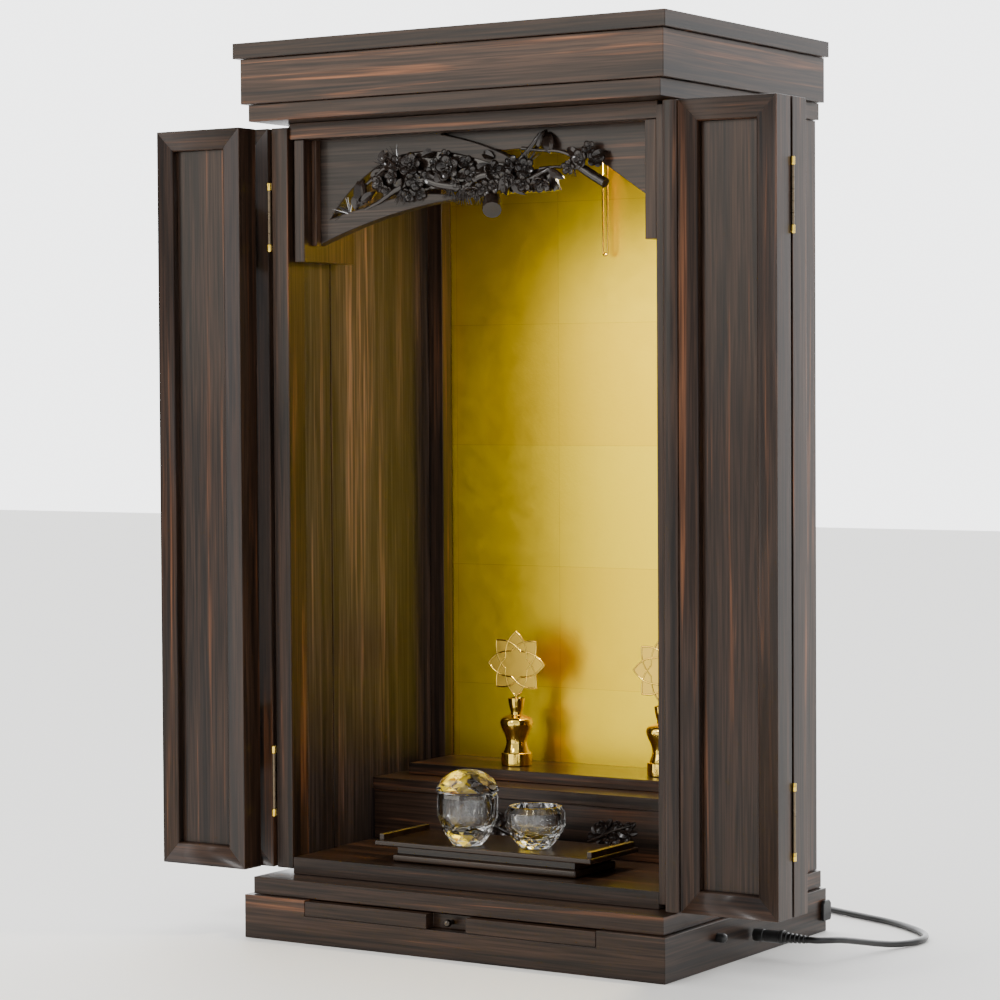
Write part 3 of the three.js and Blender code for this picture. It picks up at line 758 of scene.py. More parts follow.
def plum_blossom():
    """A blossom of radius 1 that looks up the Z axis: five cupped petals, a heart and stamens."""
    parts = []
    for number in range(5):
        turn = math.radians(72 * number)
        bpy.ops.mesh.primitive_uv_sphere_add(segments=14, ring_count=9, radius=1)
        petal = bpy.context.active_object
        petal.scale = (0.47, 0.43, 0.17)
        settle(petal)
        pick(petal, "VERT", lambda v: v.co.z > 0.06 and v.co.xy.length < 0.34)
        bpy.ops.transform.translate(value=(0, 0, -0.13))
        close_edit()
        petal.rotation_euler = (0, math.radians(-24), 0)
        petal.location = (0.53, 0, 0.12)
        settle(petal)
        petal.rotation_euler = (0, 0, turn)
        parts.append(petal)
    bpy.ops.mesh.primitive_uv_sphere_add(segments=12, ring_count=6, radius=0.17, location=(0, 0, 0.1))
    parts.append(bpy.context.active_object)
    for number in range(11):
        turn = Matrix.Rotation(2 * math.pi * number / 11, 4, "Z")
        lean = turn @ Matrix.Rotation(math.radians(48), 4, "Y")
        bpy.ops.mesh.primitive_cylinder_add(vertices=5, radius=0.03, depth=0.5)
        stamen = bpy.context.active_object
        stamen.matrix_world = lean @ Matrix.Translation((0, 0, 0.3)) @ stamen.matrix_world
        bpy.ops.mesh.primitive_ico_sphere_add(subdivisions=1, radius=0.06)
        head = bpy.context.active_object
        head.matrix_world = lean @ Matrix.Translation((0, 0, 0.56)) @ head.matrix_world
        parts += [stamen, head]
    blossom = join_parts("plum_blossom", parts)
    smooth_up_to(blossom, 50)
    return blossom


def pointed_leaf():
    """A leaf one unit long that points along X and looks up Z, with a sunk rib and a curled tip."""
    bpy.ops.mesh.primitive_grid_add(x_subdivisions=12, y_subdivisions=6, size=1)
    blade = bpy.context.active_object
    blade.name = "pointed_leaf"
    for vertex in blade.data.vertices:
        along = vertex.co.x + 0.5
        width = 0.5 * math.sin(math.pi * min(1, along ** 0.8)) ** 0.8 if 0 < along < 1 else 0.01
        vertex.co.y *= width
        vertex.co.z = 0.5 * abs(vertex.co.y) - 0.5 * (along - 0.35) ** 2
    apply_modifier(blade, "SOLIDIFY", thickness=0.09, offset=0)
    smooth_up_to(blade, 45)
    return blade


def needle_tuft():
    """Pine needles one unit long that fan out from one point along X."""
    parts = []
    for number in range(NEEDLES):
        bpy.ops.mesh.primitive_cone_add(vertices=5, radius1=0.045, radius2=0.012, depth=1)
        needle = bpy.context.active_object
        fan = math.radians(FAN_SPREAD * (2 * number / (NEEDLES - 1) - 1) + random.uniform(-4, 4))
        lift = math.radians(random.uniform(-18, 22))
        turn = Matrix.Rotation(fan, 4, "Z") @ Matrix.Rotation(math.radians(90) - lift, 4, "Y")
        needle.matrix_world = turn @ Matrix.Translation((0, 0, 0.5)) @ needle.matrix_world
        parts.append(needle)
    return join_parts("needle_tuft", parts)


motifs = {"blossom": plum_blossom(), "leaf": pointed_leaf(), "needles": needle_tuft()}
FACE_FRONT = Matrix.Rotation(math.radians(90), 4, "X")


def set_motif(kind, x_mm, z_mm, front_mm, size_mm, turn, lean=0, swing=0):
    """A copy of a motif on the front of the carving. lean tips it down, swing turns it right."""
    copy = start_from(kind, motifs[kind].data.copy())
    tip = Matrix.Rotation(math.radians(swing), 4, "Z") @ Matrix.Rotation(math.radians(lean), 4, "X")
    copy.matrix_world = (Matrix.Translation((x_mm * MM, ahead(front_mm), z_mm * MM)) @ tip @ FACE_FRONT
                         @ Matrix.Rotation(math.radians(turn), 4, "Z") @ Matrix.Scale(size_mm * MM, 4))
    return copy


def carved_bough(name, stations, roughness_mm=0.35):
    """A knotty bough along stations of (x, mm ahead of the back face, z, radius)."""
    shape = round_curve(name, MM, 4, True)
    shape.resolution_u = 8
    line = add_bending_line(shape, [(x * MM, ahead(front), z * MM) for x, front, z, _ in stations])
    for point, station in zip(line.bezier_points, stations):
        point.radius = station[3]
    piece = start_from(name, shape)
    bpy.ops.object.convert(target="MESH")
    bark = bpy.data.textures.new(name + "_bark", "CLOUDS")
    bark.noise_scale = 5 * MM
    apply_modifier(piece, "DISPLACE", texture=bark, strength=2 * roughness_mm * MM, mid_level=0.5,
                   texture_coords="LOCAL")
    smooth_up_to(piece, 40)
    return piece


print("motifs", {kind: len(piece.data.polygons) for kind, piece in motifs.items()})

# %% [markdown]
# Now the branch is put together. The boughs come first and hold everything; the log with its sawn
# end hangs lowest. The left end fills the lens with leaves and open gaps, the middle carries the
# large blossoms, and a thin twig on the right bears the last flowers over the bright gold.

# %% Carved branch
boughs = [
    carved_bough("lens_bough", [(-122, 221, 618, 1.3), (-102, 223, 625, 2.0), (-82, 224, 635, 2.8),
                                (-58, 225, 642, 3.4), (-36, 225, 637, 4.0), (-12, 224, 634, 4.6)]),
    carved_bough("upper_bough", [(-128, 220, 633, 1.2), (-108, 222, 645, 1.8), (-92, 223, 654, 2.4),
                                 (-74, 223, 651, 2.8), (-52, 223, 647, 3.0), (-30, 223, 640, 3.4)]),
    carved_bough("right_bough", [(-14, 223, 634, 4.8), (6, 224, 643, 5.2), (26, 224, 640, 5.0),
                                 (44, 224, 636, 4.6), (58, 224, 641, 3.4), (68, 223, 646, 2.4)]),
    carved_bough("thin_twig", [(58, 222, 646.5, 1.5), (72, 223, 647.2, 1.3), (84, 223, 646.6, 1.4),
                               (96, 223, 648, 2.2)], 0.1),
    carved_bough("twig_with_sawn_end", [(88, 223, 652, 3.2), (99.5, 224, 645, 3.8), (111, 225, 638.3, 4.0),
                                        (122.5, 226, 632, 4.2)]),
    carved_bough("log_with_sawn_end", [(10, 220, 625, 7.0), (12.5, 224, 621.5, 7.8), (15, 228, 617.5, 8.0),
                                       (17.5, 232, 613.8, 8.0)], 0.25),
    carved_bough("rising_bough", [(28, 222, 644, 3.2), (40, 222, 655, 2.8), (52, 221, 668, 2.0),
                                  (57, 220, 676, 1.2)]),
    carved_bough("arched_twig", [(40, 221, 664, 1.6), (58, 222, 661.5, 1.4), (76, 222, 660, 1.6),
                                 (92, 223, 655, 2.0)], 0.15),
]
# Blossoms: x, z, mm ahead of the back face, radius, turn, lean, swing
flowers = [
    (-67.7, 655, 225, 11, 8, -6, 8), (-29.5, 651, 226, 12, 30, 4, 10), (-62.5, 641, 227, 9, 50, 25, 16),
    (-43.5, 655, 224, 5.5, 12, -10, 0), (-12.6, 654, 224, 7, 64, -14, 22), (-69.5, 630, 226, 7, 20, 30, 0),
    (-58, 631, 226, 6.5, 44, 20, 34), (16.5, 646, 228, 9.5, 15, 0, 48), (63, 634, 228, 9.0, 25, 44, 12),
    (-2, 630, 228, 9.0, 58, 48, 6), (98.6, 652, 226, 9.0, 33, 0, -10), (113, 652, 225, 8.0, 6, -6, 28),
    (-100, 641, 225, 8.0, 60, 10, -14), (47, 648, 227, 8.5, 40, -6, 24), (33, 652, 225, 7.0, 10, -24, 6),
    (-86, 646, 226, 7.5, 22, 12, -4), (-20, 637, 228, 7.0, 35, 22, -12), (-82, 657, 224, 7.5, 50, -8, 6),
    (-48, 645, 226, 8.0, 18, 10, 14), (-34, 661, 223, 6.0, 40, -16, 0), (-4, 644, 228, 8.0, 12, 6, 20),
    (30, 640, 228, 8.5, 70, 14, 6), (46, 635, 228, 8.0, 22, 20, 10), (-92, 634, 225, 6.0, 30, 18, 0),
    (106, 661, 224, 6.5, 45, -12, 0), (88, 646, 227, 6.5, 12, 16, 8), (8, 632, 229, 8.0, 5, 14, 18),
    (18, 634, 228, 7.0, 50, 16, 4),
]
# Leaves: x, z, mm ahead of the back face, length, turn, lean, swing
foliage = [
    (-120, 636, 223, 24, 96, 0, 10), (-124, 628, 223, 18, 70, 6, -10), (-112, 630, 224, 15, 40, -8, 20),
    (-90, 656, 224, 20, 150, 0, -8), (-96, 664, 223, 17, 65, -10, 0), (-104, 648, 223, 18, 205, 4, 6),
    (66.4, 668, 221, 20, 96, -10, 10), (58, 671, 220, 16, 70, 0, -12), (104, 657, 225, 16, 60, -14, 8),
    (90, 659, 224, 15, 150, -10, 0), (116, 656, 224, 14, 20, -6, 24), (-44, 641, 226, 20, 330, 12, 6),
    (-36, 640, 227, 17, 290, 20, 0), (27, 633, 227, 18, 265, 20, 8), (40, 631, 227, 16, 300, 24, 0),
    (-14, 645, 226, 17, 200, 0, 10), (-50, 664, 223, 15, 20, -20, 6), (8, 660, 224, 15, 160, -14, 0),
    (76, 641, 226, 15, 320, 20, 10), (-78, 638, 226, 14, 240, 22, -8), (4, 650, 226, 14, 30, -16, 0),
]
# Needle tufts: x, z, mm ahead of the back face, length, turn, lean, swing
tufts = [
    (-82, 658, 224, 15, 120, -6, 0), (-93, 655, 224, 13, 150, 0, 0), (-10, 634, 229, 16, 250, 14, 0),
    (2, 633, 229, 15, 275, 16, 0), (34, 652, 227, 20, 272, 8, 0), (44, 650, 226, 18, 262, 8, 10),
    (47, 650, 225, 15, 82, -10, 0), (24, 650, 226, 16, 285, 10, 0), (-132, 616, 222, 15, 130, 0, 0),
    (-136, 618, 222, 13, 175, 0, 0), (-124, 622, 223, 12, 60, 0, 10), (-76, 634, 227, 13, 255, 14, 0),
    (56, 640, 227, 14, 280, 12, 0), (92, 650, 226, 12, 245, 10, 0), (-40, 646, 226, 13, 235, 8, 0),
    (62, 641, 225, 12, 268, 4, 0), (70, 641, 224, 12, 274, 2, 0), (52, 642, 225, 13, 262, 4, 0),
    (24, 641, 225, 12, 274, 4, 0), (-16, 634, 227, 15, 262, 10, 0), (-26, 636, 226, 14, 250, 8, 0),
]
parts = list(boughs)
for kind, rows in (("blossom", flowers), ("leaf", foliage), ("needles", tufts)):
    parts += [set_motif(kind, *row) for row in rows]
branch = join_parts("carved_plum_branch", parts)
number_board(branch)
finish_piece(branch, "cabinet", carved_ebony)
transom_boards = join_parts("transom_boards", [crescent, field, ground, fringe])
finish_piece(transom_boards, "cabinet", None, ["transom"])
print("branch", len(branch.data.polygons), "faces,", len(parts), "parts")

# %% [markdown]
# Under the shelf a riser board closes the space behind the tray. A low spray of plum is carved on
# either side of its middle, from the same motifs at a smaller size.

# %% Carved riser
riser_low, riser_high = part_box("riser_front")
RISER_FRONT_MM = 118
riser = start_block("riser_board", (riser_low.x, ahead(RISER_FRONT_MM), riser_low.z),
                    (riser_high.x, ahead(RISER_FRONT_MM - 12), riser_high.z))
ease(riser, EDGE_MM * MM)
veneer(riser, False)
parts = []
# On each side of the middle: x, z, size, turn
spray_flowers = [(52, 92, 7.2, 10), (66, 84, 6.4, 40), (79, 95, 4.6, 20), (42, 84, 4.4, 55),
                 (58, 82, 4.8, 30), (68, 95, 5.2, 15), (77, 86, 4.6, 48)]
spray_leaves = [(74, 88, 12, -20), (60, 97, 11, 60), (46, 80, 10, 200), (84, 90, 9, 10),
                (45, 90, 9, 120), (56, 86, 9, 250), (71, 80, 9, 300), (83, 97, 8, 40)]
for side in (-1, 1):
    stem = [(side * 38, RISER_FRONT_MM, 79, 1.0), (side * 50, RISER_FRONT_MM + 0.8, 84, 1.5),
            (side * 66, RISER_FRONT_MM + 0.8, 91, 1.3), (side * 85, RISER_FRONT_MM, 97, 0.7)]
    parts.append(carved_bough("riser_stem", stem, 0.1))
    for x, z, size, turn in spray_flowers:
        parts.append(set_motif("blossom", side * x, z, RISER_FRONT_MM, size, turn * side))
    for x, z, size, turn in spray_leaves:
        parts.append(set_motif("leaf", side * x, z, RISER_FRONT_MM + 0.6, size,
                               turn if side > 0 else 180 - turn))
spray = join_parts("carved_riser_sprays", parts)
carved_riser = ebony_veneer("carved_riser_ebony", "X", "1c1512", "2a201b", "3a281e", coat=0.3)
number_board(spray)
finish_piece(spray, "cabinet", carved_riser)
finish_piece(riser, "cabinet", None, ["riser_front"])
for motif in motifs.values():
    bpy.data.objects.remove(motif)
print("riser sprays", len(spray.data.polygons), "faces")

# %% [markdown]
# Most of the small fittings are turned on a lathe. One helper spins a profile of radius and height
# round an upright axis, and a second one lays the result down where a piece sticks out of a side.
# The lotus pair uses it first: a gilt vase with a waist, a shoulder and a flared collar.

# %% Turned pieces
def turned_piece(name, profile, place_mm=(0, 0, 0), steps=72, smooth=30):
    """Spins a profile of (radius, height) in millimetres round an upright axis."""
    mesh = bpy.data.meshes.new(name)
    mesh.from_pydata([(r * MM, 0, h * MM) for r, h in profile],
                     [(i, i + 1) for i in range(len(profile) - 1)], [])
    piece = start_from(name, mesh)
    open_whole(piece)
    bpy.ops.mesh.spin(steps=steps, angle=2 * math.pi, center=(0, 0, 0), axis=(0, 0, 1))
    bpy.ops.mesh.select_all(action="SELECT")
    bpy.ops.mesh.remove_doubles(threshold=0.002 * MM)
    close_outwards()
    smooth_up_to(piece, smooth)
    piece.location = Vector(place_mm) * MM
    settle(piece)
    return piece


def lay_down(piece, place, tilt):
    """Turns an upright piece about its foot by angles in degrees and moves the foot to a place."""
    piece.rotation_euler = [math.radians(angle) for angle in tilt]
    settle(piece)
    piece.location = place
    settle(piece)
    return piece


TO_THE_RIGHT = (0, 90, 0)
TO_THE_FRONT = (90, 0, 0)
print("lathe is ready")

# %% [markdown]
# The flower is a thin brushed disc of four long petals laid over each other, an eighth of a turn
# apart, so that eight tips show. A petal is full at the shoulders and pointed at both tips, and a
# raised wire runs round it, except over the plain middle of the flower. The petals' discs differ a
# little in thickness, so that no two faces lie in the same plane.

# %% Lotus pair
PETAL_TIP, PETAL_HALF = 30.2, 12.2
PLAIN_RADIUS = 12.2
FLOWER_MIDDLE = 221.6
LOTUS_FRONT = 52
LOTUS_SIDE = 75
VASE_FOOT = 131.3
vase_profile = [
    (0, 0.2), (13.5, 0.2), (13.9, 0.6), (13.9, 11), (13.5, 11.4), (12.2, 11.6), (11.2, 13.6), (9.9, 17),
    (9.3, 20.5), (9.7, 24), (11, 28), (13, 32), (14.4, 35.8), (14.8, 38.4), (14.3, 40.6), (12.8, 42.4),
    (10, 43.8), (7.2, 44.6), (5.5, 45.4), (5.1, 46.6), (5.3, 48), (6.1, 50.5), (7, 55), (7.7, 60),
    (6.9, 60), (5.6, 53), (4.2, 49), (0, 48.5),
]


def petal_outline(tip, half, steps):
    """One long petal as (x, z) points in millimetres, tips up and down."""
    points = []
    for step in range(2 * steps):
        along = -math.cos(math.pi * step / steps)
        width = half * (1 - abs(along) ** 3.3)
        points.append((width if step < steps else -width, along * tip))
    return points


def petal_disc(number, half_thick_mm):
    """A thin disc with the outline of one petal, turned by eighths of a circle."""
    outline = [(x * MM, half_thick_mm * MM, z * MM) for x, z in petal_outline(PETAL_TIP, PETAL_HALF, 20)]
    disc = drawn_out("petal_disc", outline, -2 * half_thick_mm * MM)
    disc.rotation_euler = (0, number * math.pi / 4, 0)
    settle(disc)
    return disc


def add_straight_line(shape, places):
    """Adds a line of straight stretches through places to a curve."""
    line = shape.splines.new("POLY")
    line.points.add(len(places) - 1)
    for point, place in zip(line.points, places):
        point.co = (*place, 1)


def petal_wire(number):
    """The raised wire along the edge of one petal, in two arches that stop at the plain middle."""
    shape = round_curve("petal_wire", 0.8 * MM, 3, True)
    outline = petal_outline(PETAL_TIP - 1.1, PETAL_HALF - 0.7, 40)
    for sign in (-1, 1):
        arch = sorted((x, z * sign) for x, z in outline
                      if z * sign > 0 and math.hypot(x, z) > PLAIN_RADIUS)
        add_straight_line(shape, [(x * MM, 0, z * sign * MM) for x, z in arch])
    wire = start_from("petal_wire", shape)
    bpy.ops.object.convert(target="MESH")
    smooth_up_to(wire, 50)
    wire.rotation_euler = (0, number * math.pi / 4, 0)
    settle(wire)
    return wire


brushed_gilt = polished_metal("brushed_gilt", "e2bb48", 0.28, 0.4)
for side, x in (("left", -LOTUS_SIDE), ("right", LOTUS_SIDE)):
    y = ahead(LOTUS_FRONT) / MM
    vase = turned_piece("turned_lotus_vase_" + side, vase_profile, (x, y, VASE_FOOT))
    finish_piece(vase, "cabinet", gilt_brass, ["lotus_vase_" + side])
    disc = join_parts("petal_discs", [petal_disc(n, 0.26 + 0.03 * n) for n in range(4)])
    disc.data.materials.append(brushed_gilt)
    wires = [petal_wire(n) for n in range(4)]
    stem = turned_piece("stem", [(0, 0), (1.5, 0), (1.5, 28), (1.1, 31), (0, 31)],
                        (0, 0, -PETAL_TIP - 28), 16)
    rims = join_parts("petal_rims", wires + [stem])
    rims.data.materials.append(gilt_brass)
    flower = join_parts("wired_lotus_flower_" + side, [rims, disc])
    flower.location = (x * MM, ahead(LOTUS_FRONT), FLOWER_MIDDLE * MM)
    settle(flower)
    finish_piece(flower, "cabinet", None, ["lotus_flower_" + side])
print("lotus pair: vase", len(vase.data.polygons), "flower", len(flower.data.polygons), "faces")

# %% [markdown]
# The hanger for the scroll is one gilt wire: down from the ceiling, round a tight bend and up again,
# with a small ball on the bend.

# %% Scroll hanger
WIRE_RADIUS = 0.85 * MM
BALL_RADIUS = 1.9 * MM
hanger_low, hanger_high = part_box("scroll_hanger")
half_way = (hanger_high.x - hanger_low.x) / 2 - WIRE_RADIUS
depth_y = (hanger_low.y + hanger_high.y) / 2
bend_z = hanger_low.z + 1.2 * MM + half_way
bend = [(half_way * math.cos(a), depth_y, bend_z + half_way * math.sin(a))
        for a in (math.pi + math.pi * i / 10 for i in range(11))]
run = [(-half_way, depth_y, hanger_high.z)] + bend + [(half_way, depth_y, hanger_high.z)]
shape = round_curve("hanger_wire", WIRE_RADIUS, 4)
add_straight_line(shape, run)
wire = start_from("hanger_wire", shape)
bpy.ops.object.convert(target="MESH")
bpy.ops.object.shade_smooth()
bpy.ops.mesh.primitive_uv_sphere_add(segments=20, ring_count=12, radius=BALL_RADIUS,
                                     location=(0, depth_y, hanger_low.z + 2.0 * MM))
ball = bpy.context.active_object
only(ball)
bpy.ops.object.shade_smooth()
hanger = join_parts("wire_scroll_hanger", [wire, ball])
finish_piece(hanger, "cabinet", gilt_brass, ["scroll_hanger"])
print("hanger", len(hanger.data.polygons), "faces")

# %% [markdown]
# The tray is a lacquered board on a stepped foot, open at the front and back, with a low lip at
# each end. The tops of the lips are lined in dull gold.

# %% Offering tray
LIP_TOP = 89


def gild(piece, test):
    """Gives the faces that pass a test a dull gold, as on the tray's lips and the mains pins."""
    piece.data.materials.append(gold_edge)
    for face in piece.data.polygons:
        if test(face):
            face.material_index = len(piece.data.materials) - 1


# Blocks of the tray: x from, x to, d from, d to, z from, z to, eased edge, in millimetres
tray_blocks = [(-107, 107, 150, 229, 79.5, 84, 1.2), (-88, 88, 163, 222, 73, 79.5, 0.5),
               (-91, 91, 160, 226, 66.3, 73, 2.0), (-105, -100.5, 154, 224, 83, LIP_TOP, 0.5),
               (100.5, 105, 154, 224, 83, LIP_TOP, 0.5)]
parts = []
for x0, x1, back, front, z0, z1, edge in tray_blocks:
    part = start_block("tray_part", (x0 * MM, ahead(front), z0 * MM), (x1 * MM, ahead(back), z1 * MM))
    ease(part, edge * MM, 4)
    part.data.materials.append(tray_lacquer)
    if z1 == LIP_TOP:
        gild(part, lambda face: face.normal.z > 0.5)
    parts.append(part)
tray = join_parts("lacquered_offering_tray", parts)
number_board(tray)
finish_piece(tray, "cabinet", None, ["offering_tray"])
print("tray", len(tray.data.polygons), "faces")

# %% [markdown]
# The cup, its lid and the bowl are cut crystal. Their outsides are rings of flat facets. Where two
# rings are turned by half a facet, the faces between them become diamonds, which is how the lower
# half is cut. The bore inside is round and smooth, with six sides to each facet. No primitive has
# such a surface, so the rings and faces are listed one by one.

# %% Cutting crystal
FACETS = 10
BORE_SHARE = 6


def ring(radius, height, count, shift):
    """One ring of points, in millimetres, turned by a share of a facet."""
    return [(radius * math.cos(2 * math.pi * (i + shift) / count),
             radius * math.sin(2 * math.pi * (i + shift) / count), height) for i in range(count)]


def crystal_piece(name, outer, bore, place_mm):
    """A crystal piece. outer lists (radius, height, shift), bore lists (radius, height) from the rim."""
    points, faces, starts = [], [], []
    for radius, height, shift in outer:
        starts.append(len(points))
        points += ring(radius, height, FACETS, shift)
    for (lower, upper), (low_row, high_row) in zip(zip(starts, starts[1:]), zip(outer, outer[1:])):
        for i in range(FACETS):
            j = (i + 1) % FACETS
            if low_row[2] == high_row[2]:
                faces.append((lower + i, lower + j, upper + j, upper + i))
            elif high_row[2] > low_row[2]:
                faces += [(lower + i, lower + j, upper + i), (lower + j, upper + j, upper + i)]
            else:
                faces += [(lower + i, upper + j, upper + i), (lower + i, lower + j, upper + j)]
    faces.append(tuple(reversed(range(FACETS))))
    rim = starts[-1]
    if bore:
        count = FACETS * BORE_SHARE
        bore_starts = []
        for radius, height in bore:
            bore_starts.append(len(points))
            points += ring(radius, height, count, 0)
        for i in range(FACETS):
            inner = [bore_starts[0] + (i * BORE_SHARE + k) % count for k in range(BORE_SHARE, -1, -1)]
            faces.append((rim + i, rim + (i + 1) % FACETS, *inner))
        bore_from = len(faces)
        for upper, lower in zip(bore_starts, bore_starts[1:]):
            for i in range(count):
                j = (i + 1) % count
                faces.append((upper + i, upper + j, lower + j, lower + i))
        faces.append(tuple(bore_starts[-1] + i for i in range(count)))
    else:
        faces.append(tuple(rim + i for i in range(FACETS)))
    mesh = bpy.data.meshes.new(name)
    mesh.from_pydata([Vector(point) * MM for point in points], [], faces)
    for face in mesh.polygons:
        face.use_smooth = bool(bore) and bore_from <= face.index < len(faces) - 1
    piece = start_from(name, mesh)
    open_whole(piece)
    close_outwards()
    piece.location = Vector(place_mm) * MM
    settle(piece)
    return piece


print("crystal is cut in", FACETS, "facets")

# %% [markdown]
# The cup is tall and narrows to its foot, the bowl is low and wide, and the lid is a solid dome that
# rests on the cup. Each is a list of rings from the foot up, then of the bore from the rim down. The
# faces of the outside stay flat, and a narrow chamfer along each edge catches the light.

# %% Cup, lid and bowl
CUT_EDGE_MM = 0.35
CRYSTAL_FOOT = 84.3
LID_FOOT = CRYSTAL_FOOT + 44.3
cup_place = (-23, ahead(212) / MM, CRYSTAL_FOOT)
cup = crystal_piece("cut_crystal_cup", [
    (12.5, 0, 0), (16.4, 4.6, 0.5), (20, 10.4, 0), (23.2, 17.6, 0.5), (25.8, 25, 0), (25.8, 40.4, 0),
    (24.6, 44, 0)], [(19.5, 44), (19, 25), (17, 19), (12, 15), (6, 13.2)], cup_place)
lid = crystal_piece("cut_crystal_lid", [
    (25.6, 0, 0), (27, 2.4, 0), (25.2, 7, 0.5), (21.4, 11.8, 0), (15.4, 16, 0.5), (9, 18.4, 0)], [],
    (cup_place[0], cup_place[1], LID_FOOT))
bowl = crystal_piece("cut_crystal_bowl", [
    (12.5, 0, 0), (16.6, 4.2, 0.5), (20.4, 9, 0), (23.4, 14, 0.5), (25.4, 18.6, 0), (25.4, 30, 0),
    (22.6, 35, 0)], [(18.4, 35), (19.4, 26), (19, 20), (15, 14.5), (10, 11.6), (5, 10.6)],
    (35, ahead(198) / MM, CRYSTAL_FOOT))
for piece, node in ((cup, "crystal_cup"), (lid, "crystal_cup_lid"), (bowl, "crystal_bowl")):
    apply_modifier(piece, "BEVEL", width=CUT_EDGE_MM * MM, segments=1, limit_method="ANGLE",
                   angle_limit=math.radians(12))
    finish_piece(piece, "cabinet", crystal, [node])
print("crystal faces", len(cup.data.polygons), len(lid.data.polygons), len(bowl.data.polygons))

# %% [markdown]
# Each leaf hangs on two brass hinges at the post and folds on two more. A hinge is a slim barrel of
# five knuckles in a darker brass, with a bright gilt cap on each end, and a plate of the darker brass
# that lies in the joint between the wooden parts.

# %% Hinges
KNUCKLES = 5
POST_AXIS = 199
FOLD_AXIS = 302
AXIS_FRONT = 247.5
GROOVE_DEEP, GROOVE_HALF = 0.35, 0.25
PLATE_DEEP = 21
PLATE_END = 7.5
CAP_LONG = 6.6


def barrel_profile(radius, length):
    """Knuckles with a fine groove between each pair, from one cap to the other."""
    knuckle = (length - 2 * CAP_LONG) / KNUCKLES
    profile = [(0, CAP_LONG - 0.2)]
    for number in range(KNUCKLES):
        low, high = CAP_LONG + number * knuckle, CAP_LONG + (number + 1) * knuckle
        profile += [(radius - GROOVE_DEEP, low), (radius, low + GROOVE_HALF),
                    (radius, high - GROOVE_HALF), (radius - GROOVE_DEEP, high)]
    return profile + [(0, length - CAP_LONG + 0.2)]


def make_hinge(node, sign, axis_x, plate_span, radius, cap):
    """A hinge in the place of its CAD solid. plate_span is near, far, back and front of the plate."""
    low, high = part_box(node)
    length = (high.z - low.z) / MM
    spot = (sign * axis_x, ahead(AXIS_FRONT) / MM, low.z / MM)
    barrel = turned_piece("barrel", barrel_profile(radius, length), spot, 20)
    barrel.data.materials.append(hinge_brass)
    cap_profile = [(0, 0), (cap * 0.7, 0), (cap * 0.92, 0.2), (cap, 0.7), (cap, CAP_LONG - 0.5),
                   (cap * 0.85, CAP_LONG), (0, CAP_LONG)]
    parts = [barrel]
    for foot in (0, length - CAP_LONG):
        end = turned_piece("cap", cap_profile, (spot[0], spot[1], spot[2] + foot), 20)
        end.data.materials.append(gilt_brass)
        parts.append(end)
    near, far, back, front = plate_span
    xs = sorted((sign * (axis_x - near), sign * (axis_x - far)))
    plate = start_block("plate", (xs[0] * MM, ahead(front), low.z + PLATE_END * MM),
                        (xs[1] * MM, ahead(back), high.z - PLATE_END * MM))
    ease(plate, 0.12 * MM, 2)
    plate.data.materials.append(hinge_brass)
    parts.append(plate)
    return join_parts("knuckled_" + node, parts)


for side, sign in (("left", -1), ("right", 1)):
    for level in ("upper", "lower"):
        node = f"post_hinge_{level}_{side}"
        hinge = make_hinge(node, sign, POST_AXIS, (1.6, 0.9, AXIS_FRONT - PLATE_DEEP, AXIS_FRONT), 1.5, 2.1)
        finish_piece(hinge, "cabinet", None, [node])
        node = f"fold_hinge_{level}_{side}"
        hinge = make_hinge(node, sign, FOLD_AXIS, (PLATE_DEEP, 0.5, 246.3, 247.2), 1.3, 1.7)
        finish_piece(hinge, f"{side}_inner_leaf", None, [node])
print("hinges: 8, each", len(hinge.data.polygons), "faces")

# %% [markdown]
# A small dark chrome knob pulls the board out. On the cabinet's right side are a black knob and the
# inlet of the lamp. The lead's plug stands in the inlet: a smooth barrel, a grip ring and a ribbed
# strain relief. On the other end of the lead is a flat two-pin mains plug.

# %% Knobs, inlet and plugs
knob_low, knob_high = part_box("pull_out_knob")
knob = turned_piece("turned_pull_out_knob", [
    (0, 0), (2, 0), (1.9, 3.6), (2.2, 4.8), (2.9, 5.8), (3.1, 7), (3, 8.6), (2.4, 9.9), (1.3, 10.6),
    (0, 10.7)], steps=40, smooth=50)
knob_foot = Vector(((knob_low.x + knob_high.x) / 2, knob_high.y, (knob_low.z + knob_high.z) / 2))
lay_down(knob, knob_foot, TO_THE_FRONT)
finish_piece(knob, "pull_out", dark_chrome, ["pull_out_knob"])

side_low, side_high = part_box("side_knob")
side_foot = Vector((side_low.x, (side_low.y + side_high.y) / 2, (side_low.z + side_high.z) / 2))
side_knob = lay_down(turned_piece("turned_side_knob", [
    (0, 0), (3.8, 0), (3.8, 5.2), (3.5, 6.4), (2.7, 7.4), (1.6, 7.9), (0, 8)], steps=36),
    side_foot, TO_THE_RIGHT)
finish_piece(side_knob, "cabinet", black_plastic, ["side_knob"])

inlet = start_copy("rounded_power_inlet", "power_inlet")
ease(inlet, 0.7 * MM)
finish_piece(inlet, "cabinet", black_plastic, ["power_inlet"])

INLET_Y, INLET_Z = 3.8, 18
PLUG_FROM, RELIEF_FROM = 209.4, 237.2
plug = lay_down(turned_piece("ringed_cord_plug", [
    (0, 0), (5, 0), (5.2, 0.4), (5.2, 8.6), (4.8, 9), (4.8, 9.8), (5.2, 10.2), (5.2, 23.2), (5.7, 23.7),
    (5.8, 24.2), (5.8, 26.8), (5.4, 27.4), (4.2, 27.5), (0, 27.5)], steps=40),
    Vector((PLUG_FROM, INLET_Y, INLET_Z)) * MM, TO_THE_RIGHT)
finish_piece(plug, "cabinet", black_plastic, ["cord_plug"])

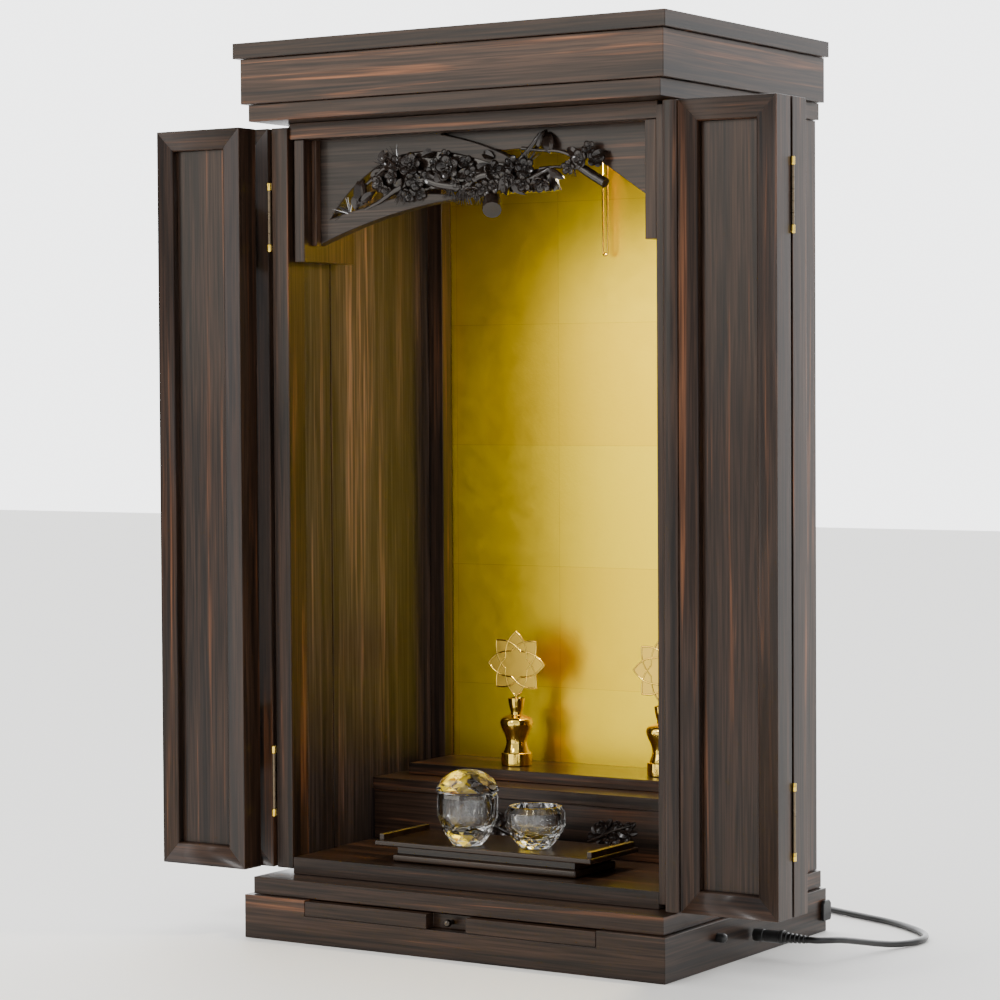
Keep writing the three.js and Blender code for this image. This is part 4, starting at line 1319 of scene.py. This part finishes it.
RIBS = 5
RIB_STEP = 3.9
ribbed = [(0, 0), (4.3, 0)]
for rib in range(RIBS):
    start = 0.3 + rib * RIB_STEP
    reach = 4.5 - 0.28 * rib
    ribbed += [(reach - 0.3, start + 0.2), (reach, start + 0.6), (reach, start + 2.1),
               (reach - 0.3, start + 2.5), (reach - 1.0, start + 2.8), (reach - 1.0, start + 3.6)]
ribbed += [(3.1, 19.8), (3.0, 20), (0, 20)]
relief = lay_down(turned_piece("ribbed_strain_relief", ribbed, steps=32),
                  Vector((RELIEF_FROM, INLET_Y, INLET_Z)) * MM, TO_THE_RIGHT)
finish_piece(relief, "cabinet", cord_rubber, ["strain_relief"])

mains = start_copy("rounded_mains_plug", "mains_plug")
ease(mains, 0.6 * MM, 3, 30)
mains.data.materials.append(black_plastic)
PIN_LENGTH = 16.5 * MM
pins_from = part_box("mains_plug")[0].x + PIN_LENGTH
gild(mains, lambda face: face.center.x < pins_from)
finish_piece(mains, "cabinet", None, ["mains_plug"])
print("knob, inlet, plugs and relief are made")

# %% [markdown]
# The lead, at its real length, gets its black sheath and is attached to the cabinet, and the CAD cord and
# coil are hidden.

lead.data.materials.append(cord_rubber)
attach(lead, "cabinet")
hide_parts("cord", "cord_coil")

# %% [markdown]
# The cabinet stands in a white studio on a plain pale floor, which lies a hair below its foot so
# that the two faces are never in one plane. Only its colour and roughness matter: it gives the
# cabinet a contact shadow and lights it a little from below.

# %% Floor
FLOOR_WIDTH = 14
FLOOR_GAP = 0.2 * MM
bpy.ops.object.select_all(action="DESELECT")
bpy.ops.mesh.primitive_plane_add(size=FLOOR_WIDTH, location=(0, 0, -FLOOR_GAP))
floor = bpy.context.active_object
floor.name = "pale_floor"
floor_paint, shader = new_material("pale_floor_paint", Base_Color=linear("faf8f4"), Roughness=0.6)
floor.data.materials.append(floor_paint)
print("floor of", FLOOR_WIDTH, "m")

# %% [markdown]
# The air behind and above the cabinet is brighter than the air in front, which keeps the dark wood
# dark. A broad panel in front on the left is what the gold and the vessels mirror, a weak one on the
# right fills, and a small warm lamp behind the head of the opening lights the gold. A small panel
# above the front gives the crystal, the carving and the gilt their sparks. Each panel is a square
# area light aimed at a point of the cabinet, since a point of light would leave hard spots.

# %% Light
BEHIND = (-0.45, 0.7, 0.35)
DIM, BRIGHT = 0.95, 4.2
world = bpy.data.worlds.new("studio")
bpy.context.scene.world = world
world.use_nodes = True
air = world.node_tree.nodes["Background"]
air.inputs[0].default_value = linear("f6f7f8")
direction = add_node(world, "ShaderNodeTexCoord").outputs["Generated"]
towards_back = add_node(world, "ShaderNodeVectorMath", {0: direction, 1: BEHIND}, operation="DOT_PRODUCT")
strength = add_node(world, "ShaderNodeMapRange", {
    "Value": towards_back.outputs["Value"], "From Min": 0.2, "From Max": 0.76,
    "To Min": DIM, "To Max": BRIGHT})
link(world, strength.outputs[0], air.inputs[1])


def softbox(name, place, target, size, watts, colour):
    """A square area light aimed at a point."""
    bpy.ops.object.light_add(type="AREA", location=place)
    lamp = bpy.context.active_object
    lamp.name = name
    lamp.data.size = size
    lamp.data.energy = watts
    lamp.data.color = linear(colour)[:3]
    lamp.rotation_euler = (Vector(target) - Vector(place)).to_track_quat("-Z", "Y").to_euler()


softbox("key_panel", (-1.4, -2.2, 1.1), (0, 0, 0.4), 1.3, 17, "fff9ec")
softbox("fill_panel", (2.4, -1.2, 1.2), (0, 0, 0.35), 1.6, 9, "f6f9ff")
softbox("inside_lamp", (0.14, 0.07, 0.68), (0.13, 0.13, 0.4), 0.06, 3, "fff2d0")
softbox("glint_panel", (-0.2, -1.5, 1.25), (0.05, 0.0, 0.35), 0.35, 10, "ffffff")
print("the world and four panels are lit")
